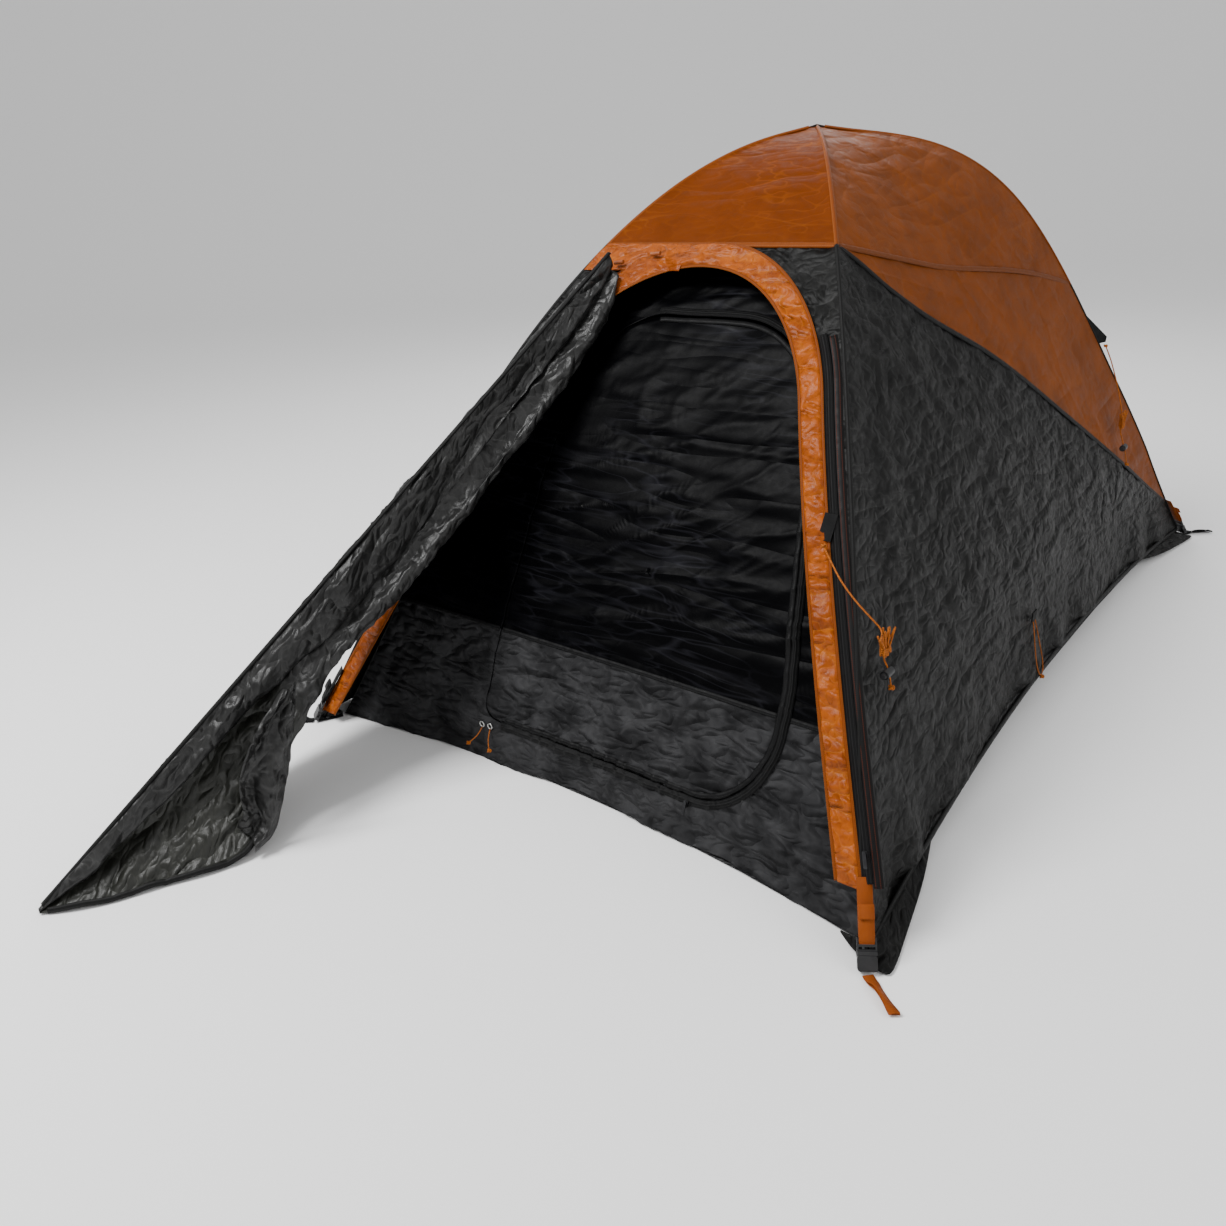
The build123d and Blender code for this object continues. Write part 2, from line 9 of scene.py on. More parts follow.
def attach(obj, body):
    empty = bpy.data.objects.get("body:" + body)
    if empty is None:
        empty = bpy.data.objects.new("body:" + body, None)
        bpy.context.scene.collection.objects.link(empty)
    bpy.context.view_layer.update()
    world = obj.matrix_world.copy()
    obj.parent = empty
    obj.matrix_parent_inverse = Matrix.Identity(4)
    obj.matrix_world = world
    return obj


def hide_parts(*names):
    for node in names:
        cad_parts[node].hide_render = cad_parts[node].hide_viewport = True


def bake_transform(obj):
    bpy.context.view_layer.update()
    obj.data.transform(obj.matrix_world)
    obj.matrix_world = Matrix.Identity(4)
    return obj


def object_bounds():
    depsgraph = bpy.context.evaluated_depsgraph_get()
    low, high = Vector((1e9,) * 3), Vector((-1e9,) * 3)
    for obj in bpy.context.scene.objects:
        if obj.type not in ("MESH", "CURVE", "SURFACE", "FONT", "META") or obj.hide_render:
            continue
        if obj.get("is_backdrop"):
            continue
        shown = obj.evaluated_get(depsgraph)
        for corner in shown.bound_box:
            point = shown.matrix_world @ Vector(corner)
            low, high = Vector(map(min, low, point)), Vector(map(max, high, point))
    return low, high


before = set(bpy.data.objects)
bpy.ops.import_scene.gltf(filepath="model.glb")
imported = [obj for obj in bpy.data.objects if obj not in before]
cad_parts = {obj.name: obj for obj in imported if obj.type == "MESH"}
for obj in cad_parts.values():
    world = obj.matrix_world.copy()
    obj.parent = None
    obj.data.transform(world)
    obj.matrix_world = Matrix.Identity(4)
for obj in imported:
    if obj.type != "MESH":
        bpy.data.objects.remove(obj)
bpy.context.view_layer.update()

# Metres. The fly and the inner tent are domes on a rectangle: every level cut is that rectangle times a
# reach, which runs from 0 at the crown to 1 at the ground.
dome = {
    "halfWidth": 0.700,
    "halfLength": 1.100,
    "flyCrown": 1.200,
    "innerCrown": 1.142,
    "innerShare": 0.955,
    "bendPower": 1.95,
    "liftPower": 1.05,
    "skirtTop": 0.300,
    "sideBow": 0.040,
    "endBow": 0.035,
    "hemAtCorner": 0.014,
    "hemAtMiddle": 0.058,
    "rearLift": 0.060,  # how far the cloth of the rear half stands above the plain dome
    "liftReach": (0.05, 0.42, 0.75),  # where the lift starts, is greatest and ends
    "peak": 0.010,
}
seams = {
    "front": 1.000,
    "rear": 0.765,
    "splitRear": 0.115,
    "splitSag": 0.026,  # how far the split dips just behind the front pole
}
arch = {"centre": 0.611, "radius": 0.392, "band": 0.040, "foot": 0.108, "lean": math.radians(24.3)}


# Small tools
def steps(low, high, count):
    return np.linspace(low, high, count)


def unit(v):
    return v / np.maximum(np.linalg.norm(v, axis=-1, keepdims=True), 1e-12)


def smooth(low, high, x):
    # 0 below low, 1 above high, 3t^2 - 2t^3 between
    t = np.clip((x - low) / (high - low), 0, 1)
    return t * t * (3 - 2 * t)


def cloud(u, v, seed):
    # random numbers on a 64 by 64 lattice, blended between its points; 0 to 1
    table = np.random.default_rng(seed).random((64, 64))
    iu, iv = np.floor(u).astype(int), np.floor(v).astype(int)
    fu, fv = u - iu, v - iv
    su, sv = fu * fu * (3 - 2 * fu), fv * fv * (3 - 2 * fv)
    low = table[iu % 64, iv % 64] * (1 - su) + table[(iu + 1) % 64, iv % 64] * su
    high = table[iu % 64, (iv + 1) % 64] * (1 - su) + table[(iu + 1) % 64, (iv + 1) % 64] * su
    return low * (1 - sv) + high * sv


def crease(u, v, turn, across, along, seed, sharp=3):
    # a ridge wherever warped noise crosses its middle: (1 - |2n - 1|)^sharp, stretched along one direction
    p = (u * math.cos(turn) + v * math.sin(turn)) / along
    q = (v * math.cos(turn) - u * math.sin(turn)) / across
    warp = cloud(p * 1.3 + 7, q * 0.6 + 3, seed + 40) * 1.5
    n = 0.7 * cloud(p + warp * 0.4, q + warp, seed) + 0.3 * cloud(p * 2.3, q * 2.1, seed + 9)
    return (1 - np.abs(2 * n - 1)) ** sharp


def gridNormals(points):
    # cross product of the differences along both ways of the grid
    du = np.gradient(points, axis=0)
    dv = np.gradient(points, axis=1)
    n = np.cross(du, dv)
    size = np.linalg.norm(n, axis=-1, keepdims=True)
    n = n / np.maximum(size, 1e-12)
    n[:, -1] = np.where(size[:, -1] < 1e-10, n[:, -2], n[:, -1])
    return n


def gridArea(points):
    # half the cross product of each cell's diagonals, summed
    a = points[1:, 1:] - points[:-1, :-1]
    b = points[1:, :-1] - points[:-1, 1:]
    return float(np.linalg.norm(np.cross(a, b), axis=-1).sum() / 2)


def cells(index):
    # the four corners of every cell of a grid
    return np.stack([index[:-1, :-1], index[1:, :-1], index[1:, 1:], index[:-1, 1:]], -1).reshape(-1, 4)


def gridPiece(name, points, uv, materials, thick=0.0, body="tent", wrap=False, flip=False,
              pinch=False):
    # a mesh of quads over a (u, v) grid of points, with its uv in metres
    nu, nv = points.shape[:2]
    index = np.arange(nu * nv).reshape(nu, nv)
    if wrap:
        index = np.concatenate([index, index[:, :1]], axis=1)
    quads = cells(index)
    if flip:
        quads = quads[:, ::-1]
    mesh = bpy.data.meshes.new(name)
    mesh.from_pydata(points.reshape(-1, 3), [], quads)
    if uv is not None:
        if wrap:
            uv = np.concatenate([uv, uv[:, :1] + [0, 0.01]], axis=1)
            corners = cells(np.arange(nu * (nv + 1)).reshape(nu, nv + 1))
            corners = corners[:, ::-1] if flip else corners
        else:
            corners = quads
        layer = mesh.uv_layers.new(name="cloth")
        layer.data.foreach_set("uv", uv.reshape(-1, 2)[corners.reshape(-1)].astype(np.float32).ravel())
    mesh.polygons.foreach_set("use_smooth", np.ones(len(mesh.polygons), bool))
    mesh.update()
    if pinch:
        tidyMesh(mesh)
    piece = bpy.data.objects.new(name, mesh)
    bpy.context.collection.objects.link(piece)
    for m in materials:
        mesh.materials.append(m)
    if thick:
        shell = piece.modifiers.new("thickness", "SOLIDIFY")
        shell.thickness = thick
        shell.offset = -1.0
        shell.material_offset = 1 if len(materials) > 1 else 0
        shell.material_offset_rim = 0
    if body:
        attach(piece, body)
    return piece


def tidyMesh(mesh):
    # joins the points that meet at a pole of the grid
    work = bmesh.new()
    work.from_mesh(mesh)
    bmesh.ops.remove_doubles(work, verts=work.verts, dist=1e-5)
    bmesh.ops.dissolve_degenerate(work, edges=work.edges, dist=1e-6)
    work.to_mesh(mesh)
    work.free()


def alongPath(path):
    # distance along a row of points
    return np.concatenate([[0], np.cumsum(np.linalg.norm(np.diff(path, axis=0), axis=1))])


def resample(path, count):
    # evenly spaced points on a polyline
    path = np.asarray(path, float)
    d = alongPath(path)
    at = steps(0, d[-1], count)
    return np.stack([np.interp(at, d, path[:, k]) for k in range(3)], -1)


def rounded(path, count, passes=3):
    # corner cutting: each pass keeps the ends and puts points at a quarter and three quarters of every side
    path = np.asarray(path, float)
    for _ in range(passes):
        low = path[:-1] * 0.75 + path[1:] * 0.25
        high = path[:-1] * 0.25 + path[1:] * 0.75
        path = np.concatenate([path[:1], np.stack([low, high], 1).reshape(-1, path.shape[1]), path[-1:]])
    return resample(path, count)


def sweptStrip(name, path, normal, profile, material, body="tent"):
    # a profile of (across, above) points carried along a path; across is path direction x normal
    path, normal = np.asarray(path, float), unit(np.broadcast_to(np.asarray(normal, float), np.shape(path)))
    tangent = unit(np.gradient(path, axis=0))
    across = unit(np.cross(tangent, normal))
    up = unit(np.cross(across, tangent))
    profile = np.asarray(profile, float)
    points = path[:, None] + across[:, None] * profile[None, :, :1] + up[:, None] * profile[None, :, 1:2]
    run = alongPath(path)
    uv = np.stack(np.broadcast_arrays(run[:, None], profile[None, :, 0]), -1)
    piece = gridPiece(name, points, uv, [material], body=body, wrap=True, flip=True)
    capEnds(piece.data, len(path), len(profile))
    return piece


def capEnds(mesh, rows, around):
    # closes both ends of a swept profile with one face each
    work = bmesh.new()
    work.from_mesh(mesh)
    work.verts.ensure_lookup_table()
    first = [work.verts[i] for i in range(around)]
    last = [work.verts[(rows - 1) * around + i] for i in range(around)]
    work.faces.new(first)
    work.faces.new(last[::-1])
    bmesh.ops.recalc_face_normals(work, faces=work.faces)
    work.to_mesh(mesh)
    work.free()


# Dome surface
def heightAt(reach, crown):
    # crown * (1 - reach^bend)^lift above the skirt, a straight line below it
    top = reachAt(dome["skirtTop"], crown)
    upper = crown * np.maximum(1 - np.abs(reach) ** dome["bendPower"], 0) ** dome["liftPower"]
    lower = dome["skirtTop"] * (1 - (reach - top) / (1 - top))
    return np.where(reach > top, lower, upper)


def reachAt(height, crown):
    return (1 - (height / crown) ** (1 / dome["liftPower"])) ** (1 / dome["bendPower"])


def anyReach(height, crown):
    # reachAt above the skirt's top and the straight skirt below it
    top = reachAt(dome["skirtTop"], crown)
    high = reachAt(np.maximum(height, dome["skirtTop"]), crown)
    low = top + (1 - np.asarray(height) / dome["skirtTop"]) * (1 - top)
    return np.where(np.asarray(height) >= dome["skirtTop"], high, low)


faces = {
    "right": {"turn": 0, "reach": dome["halfWidth"], "side": dome["halfLength"], "bow": dome["sideBow"]},
    "back": {"turn": 1, "reach": dome["halfLength"], "side": dome["halfWidth"], "bow": dome["endBow"]},
    "left": {"turn": 2, "reach": dome["halfWidth"], "side": dome["halfLength"], "bow": dome["sideBow"]},
    "front": {"turn": 3, "reach": dome["halfLength"], "side": dome["halfWidth"], "bow": 0.0},
}


def facePoint(face, along, reach, inner=False, off=0.0):
    # a point of a dome face: along is the distance beside its middle line, reach 0 to 1. Its height is
    # heightAt(reach) plus, on the fly, the lift of the rear half and peak * exp(-reach / 0.03)
    f = faces[face]
    scale = dome["innerShare"] if inner else 1.0
    crown = dome["innerCrown"] if inner else dome["flyCrown"]
    bow = dome["endBow"] if inner and face == "front" else f["bow"]
    top = reachAt(dome["skirtTop"], crown)
    drop = np.clip((reach - top) / (1 - top), 0, 1)
    middle = np.clip(1 - (along / (f["side"] * scale)) ** 2, 0, 1)
    distance = f["reach"] * scale * reach - bow * middle * drop + off
    height = heightAt(reach, crown)
    if not inner:
        depth = {"front": -1.0, "back": 1.0}.get(face, along / np.maximum(f["side"] * reach, 1e-6))
        start, most, end = dome["liftReach"]
        lift = smooth(start, most, reach) * (1 - smooth(most, end, reach))
        height = height + dome["rearLift"] * smooth(-0.2, 1.0, depth) * lift
        height = height + dome["peak"] * np.exp(-reach / 0.03)
    along, distance, height = np.broadcast_arrays(along, distance, height)
    if face == "right":
        return np.stack([distance, along, height], -1)
    if face == "left":
        return np.stack([-distance, along, height], -1)
    if face == "back":
        return np.stack([along, distance, height], -1)
    return np.stack([along, -distance, height], -1)


def meridian(reach, face, inner=False):
    # length of cloth from the crown to a reach, added up in small steps
    f = faces[face]
    crown = dome["innerCrown"] if inner else dome["flyCrown"]
    r = steps(0, 1, 400)
    d = np.hypot(np.diff(f["reach"] * r), np.diff(heightAt(r, crown)))
    return np.interp(reach, r, np.concatenate([[0], np.cumsum(d)]))


def solveReach(level, share, side, crown):
    # reach at which the height equals level(along), by halving
    low, high = np.zeros_like(share), np.ones_like(share)
    for _ in range(40):
        mid = (low + high) / 2
        above = heightAt(mid, crown) > level(share * side * mid)
        low, high = np.where(above, mid, low), np.where(above, high, mid)
    return (low + high) / 2


def hemLine(side):
    # a hem that is low at the corners and high in the middle
    edge = side + 0.060
    rise = dome["hemAtMiddle"] - dome["hemAtCorner"]
    return lambda along: dome["hemAtMiddle"] - rise * (along / edge) ** 2


def flatLine(height):
    return lambda along: height + 0 * along


seamFrontY = dome["halfLength"] * float(reachAt(seams["front"], dome["flyCrown"]))
seamRearY = dome["halfLength"] * float(reachAt(seams["rear"], dome["flyCrown"]))
splitRearY = dome["halfLength"] * float(reachAt(seams["splitRear"], dome["flyCrown"]))


def splitLine(along):
    # straight from the front seam's end to the rear pole, less a dip of sag * exp(-((t - 0.13) / 0.12)^2)
    t = np.clip((along + seamFrontY) / (splitRearY + seamFrontY), 0, 1)
    dip = seams["splitSag"] * np.exp(-((t - 0.13) / 0.12) ** 2) * smooth(0, 0.08, t)
    return seams["front"] + (seams["splitRear"] - seams["front"]) * t - dip


def sideSeam(along):
    # straight from the front seam's end to the rear seam's end
    t = np.clip((along + seamFrontY) / (seamFrontY + seamRearY), 0, 1)
    return seams["front"] + (seams["rear"] - seams["front"]) * t


# Materials
def rgba(c):
    return (c[0], c[1], c[2], 1.0)


class Graph:
    # a short way to add nodes and links to one material
    def __init__(self, name):
        self.material = bpy.data.materials.new(name)
        self.material.use_nodes = True
        self.tree = self.material.node_tree
        self.shader = self.tree.nodes["Principled BSDF"]

    def node(self, kind, **values):
        n = self.tree.nodes.new(kind)
        for key, value in values.items():
            setattr(n, key, value)
        return n

    def link(self, source, target):
        self.tree.links.new(source, target)

    def coords(self, kind, turn=0.0, scale=(1, 1, 1)):
        source = self.node("ShaderNodeTexCoord")
        place = self.node("ShaderNodeMapping")
        place.inputs["Rotation"].default_value = (0, 0, turn)
        place.inputs["Scale"].default_value = scale
        self.link(source.outputs[kind], place.inputs["Vector"])
        return place.outputs["Vector"]

    def noise(self, vector, scale, detail=3.0, rough=0.5, distort=0.0):
        n = self.node("ShaderNodeTexNoise")
        n.inputs["Scale"].default_value = scale
        n.inputs["Detail"].default_value = detail
        n.inputs["Roughness"].default_value = rough
        n.inputs["Distortion"].default_value = distort
        self.link(vector, n.inputs["Vector"])
        return n.outputs["Fac"]

    def math(self, operation, a, b=None, c=None):
        n = self.node("ShaderNodeMath", operation=operation)
        for i, x in enumerate((a, b, c)):
            if x is None:
                continue
            if isinstance(x, (int, float)):
                n.inputs[i].default_value = x
            else:
                self.link(x, n.inputs[i])
        return n.outputs[0]

    def spread(self, value, low, high, toLow, toHigh):
        n = self.node("ShaderNodeMapRange", clamp=True)
        for key, x in (("From Min", low), ("From Max", high), ("To Min", toLow), ("To Max", toHigh)):
            n.inputs[key].default_value = x
        self.link(value, n.inputs["Value"])
        return n.outputs["Result"]

    def mix(self, amount, a, b):
        n = self.node("ShaderNodeMix", data_type="RGBA")
        self.link(amount, n.inputs[0])
        for slot, x in ((6, a), (7, b)):
            if isinstance(x, tuple):
                n.inputs[slot].default_value = rgba(x)
            else:
                self.link(x, n.inputs[slot])
        return n.outputs[2]

    def ridges(self, vector, scale, detail=2.0, distort=0.6, width=0.10):
        # thin lines where noise passes its middle value
        n = self.noise(vector, scale, detail, 0.5, distort)
        away = self.math("ABSOLUTE", self.math("SUBTRACT", n, 0.5))
        return self.spread(away, 0.0, width, 1.0, 0.0)

    def facets(self, vector, scale, distort=0.5):
        # flat slopes that meet in sharp valleys: how far noise is from its middle value
        return self.math("ABSOLUTE", self.math("SUBTRACT", self.noise(vector, scale, 0.0, 0.5, distort), 0.5))

    def bump(self, height, strength, distance, below=None):
        n = self.node("ShaderNodeBump")
        n.inputs["Strength"].default_value = strength
        n.inputs["Distance"].default_value = distance
        self.link(height, n.inputs["Height"])
        if below is not None:
            self.link(below, n.inputs["Normal"])
        return n.outputs["Normal"]

    def set(self, name, value):
        if isinstance(value, (int, float)):
            self.shader.inputs[name].default_value = value
        elif isinstance(value, tuple):
            self.shader.inputs[name].default_value = rgba(value)
        else:
            self.link(value, self.shader.inputs[name])


def clothMaterial(name, colour, highlight, dark, gloss=0.45, creaseTurn=0.0, creaseStretch=3.0, creaseSize=0.05,
                  creaseDepth=0.004, fineDepth=0.0015, weave=0.0007, shine=0.2, kind="UV", highlightShare=0.35,
                  lining=None):
    # coated ripstop: patches of sharp creases, finer crumple, woven threads, and painted highlights: the
    # colour pales toward the highlight colour along the creases and, faintly, on the raised thread crossings
    g = Graph(name)
    long = g.coords(kind, creaseTurn, (1 / creaseStretch, 1, 1))
    other = g.coords(kind, creaseTurn + 1.1, (1.6 / creaseStretch, 1, 1))
    plain = g.coords(kind)
    folds = g.facets(long, 0.8 / creaseSize, 0.5)
    smallFolds = g.facets(other, 2.1 / creaseSize, 0.4)
    # where the painted highlight lines show: patches of the cloth
    highlightPatches = g.spread(g.noise(plain, 0.16 / creaseSize, 2.0), 0.40, 0.62, 0.15, 1.0)
    # painted highlight lines: thin lines on the same noise as the fold bumps below, so they run along the
    # creases
    highlightLines = g.math("MULTIPLY", g.ridges(long, 0.8 / creaseSize, 0.0, 0.5, 0.035), highlightPatches)
    fineHighlightLines = g.math("MULTIPLY", g.ridges(other, 2.1 / creaseSize, 0.0, 0.4, 0.045), highlightPatches)
    crumple = g.noise(plain, 3.2 / creaseSize, 3.0, 0.6, 0.4)
    threads = g.node("ShaderNodeTexWave", wave_type="BANDS", bands_direction="X")
    threads.inputs["Scale"].default_value = 0.314 / weave
    g.link(plain, threads.inputs["Vector"])
    cross = g.node("ShaderNodeTexWave", wave_type="BANDS", bands_direction="Y")
    cross.inputs["Scale"].default_value = 0.314 / weave
    g.link(plain, cross.inputs["Vector"])
    weaveHeight = g.math("MULTIPLY", threads.outputs["Fac"], cross.outputs["Fac"])
    # random mottling, and painted shade: the fine crumple, also a bump height below, darkens the colour in
    # its hollows
    blotch = g.math("ADD", g.math("MULTIPLY", g.noise(plain, 0.5 / creaseSize, 3.0, 0.6, 0.6), 0.6),
                    g.math("MULTIPLY", crumple, 0.4))
    tone = g.mix(g.spread(blotch, 0.38, 0.62, 0.0, 1.0), dark, colour)
    # painted highlight: the colour is mixed toward the highlight colour along those crease lines
    edge = g.math("MULTIPLY", g.math("ADD", highlightLines, fineHighlightLines), highlightShare)
    tone = g.mix(edge, tone, highlight)
    # the lining is (its colour, its dark tone, its painted highlight colour along the creases)
    if lining:
        tag = g.node("ShaderNodeAttribute", attribute_name="lining")
        under = g.mix(g.spread(blotch, 0.38, 0.62, 0.0, 1.0), lining[1], lining[0])
        tone = g.mix(tag.outputs["Fac"], tone, g.mix(edge, under, lining[2]))
    # a faint painted highlight on the raised thread crossings
    tone = g.mix(g.math("MULTIPLY", weaveHeight, 0.10), tone, highlight)
    g.set("Base Color", tone)
    g.set("Roughness", g.spread(crumple, 0.3, 0.7, gloss - 0.07, gloss + 0.10))
    g.set("Specular IOR Level", shine)
    n = g.bump(folds, 1.0, creaseDepth * 4)
    n = g.bump(smallFolds, 1.0, fineDepth * 5, n)
    n = g.bump(crumple, 0.8, fineDepth, n)
    n = g.bump(weaveHeight, 0.35, 0.00015, n)
    g.set("Normal", n)
    return g.material


def stitchMaterial(name, colour, thread, rows=(-0.003, 0.003), pitch=0.0035, gloss=0.5):
    # tape with rows of stitches: dashes along u at set distances across v
    g = Graph(name)
    split = g.node("ShaderNodeSeparateXYZ")
    g.link(g.coords("UV"), split.inputs[0])
    u, v = split.outputs["X"], split.outputs["Y"]
    dash = g.math("SINE", g.math("MULTIPLY", u, 2 * math.pi / pitch))
    dash = g.spread(dash, -0.35, 0.0, 0.0, 1.0)
    mask = None
    for row in rows:
        near = g.math("ABSOLUTE", g.math("SUBTRACT", v, row))
        one = g.spread(near, 0.0004, 0.0008, 1.0, 0.0)
        mask = one if mask is None else g.math("MAXIMUM", mask, one)
    mask = g.math("MULTIPLY", mask, dash)
    wear = g.noise(g.coords("UV"), 90.0, 3.0)
    # the tape's tone: random patches from the same noise that bumps it below, so they are also painted light
    # on the raised patches and painted shade in the hollows
    base = g.mix(wear, tuple(0.75 * x for x in colour), tuple(min(1, 1.2 * x) for x in colour))
    g.set("Base Color", g.mix(mask, base, thread))
    g.set("Roughness", g.spread(wear, 0.3, 0.7, gloss - 0.05, gloss + 0.12))
    g.set("Specular IOR Level", 0.12)
    n = g.bump(wear, 0.6, 0.0008)
    g.set("Normal", g.bump(mask, 0.8, 0.0006, n))
    return g.material


def webbingMaterial(name, colour, dark, kind="UV", rib=0.0016):
    # ribbed webbing with a slight zigzag of the yarn; its colour is painted darker in the grooves and paler
    # on the rib tops (painted shade and light), and its gloss varies where it rubs
    g = Graph(name)
    place = g.coords(kind)
    ribs = g.node("ShaderNodeTexWave", wave_type="BANDS", bands_direction="X")
    ribs.inputs["Scale"].default_value = 0.314 / rib
    ribs.inputs["Distortion"].default_value = 0.8
    ribs.inputs["Detail Scale"].default_value = 300.0
    g.link(place, ribs.inputs["Vector"])
    yarn = g.node("ShaderNodeTexWave", wave_type="BANDS", bands_direction="DIAGONAL")
    yarn.inputs["Scale"].default_value = 0.314 / rib * 1.3
    g.link(place, yarn.inputs["Vector"])
    rub = g.noise(place, 60.0, 3.0)
    height = g.math("ADD", ribs.outputs["Fac"], g.math("MULTIPLY", yarn.outputs["Fac"], 0.5))
    # painted shade and light: the colour follows the rib height, dark in the grooves, pale on the tops
    g.set("Base Color", g.mix(g.spread(height, 0.2, 1.3, 0.0, 1.0), dark, colour))
    g.set("Roughness", g.spread(rub, 0.3, 0.7, 0.55, 0.8))
    g.set("Specular IOR Level", 0.12)
    g.set("Normal", g.bump(height, 0.7, 0.0005))
    return g.material


def hardMaterial(name, colour, gloss, metal=0.0, grain=400.0, grainDepth=0.0001, wear=(1.3, 1.3, 1.3)):
    # moulded or drawn part: fine grain, scuffs that pale the colour, and uneven gloss
    g = Graph(name)
    place = g.coords("Object")
    fine = g.noise(place, grain, 3.0)
    scuff = g.noise(place, 45.0, 5.0, 0.65, 0.4)
    pale = tuple(min(1.0, a * b) for a, b in zip(colour, wear))
    g.set("Base Color", g.mix(g.spread(scuff, 0.45, 0.7, 0.0, 1.0), colour, pale))
    g.set("Metallic", metal)
    g.set("Roughness", g.spread(scuff, 0.3, 0.75, gloss, min(1.0, gloss + 0.22)))
    g.set("Normal", g.bump(fine, 0.4, grainDepth))
    return g.material


def cordMaterial(name, colour, fleck, kind="Object"):
    # braided cord: crossing strands as bump, with darker flecks
    g = Graph(name)
    place = g.coords(kind)
    strands = g.node("ShaderNodeTexWave", wave_type="BANDS", bands_direction="DIAGONAL")
    strands.inputs["Scale"].default_value = 220.0
    strands.inputs["Distortion"].default_value = 2.0
    g.link(place, strands.inputs["Vector"])
    spots = g.noise(place, 700.0, 2.0)
    g.set("Base Color", g.mix(g.spread(spots, 0.5, 0.6, 0.0, 1.0), colour, fleck))
    g.set("Roughness", g.spread(spots, 0.3, 0.7, 0.6, 0.85))
    g.set("Specular IOR Level", 0.15)
    g.set("Normal", g.bump(strands.outputs["Fac"], 0.8, 0.0004))
    return g.material


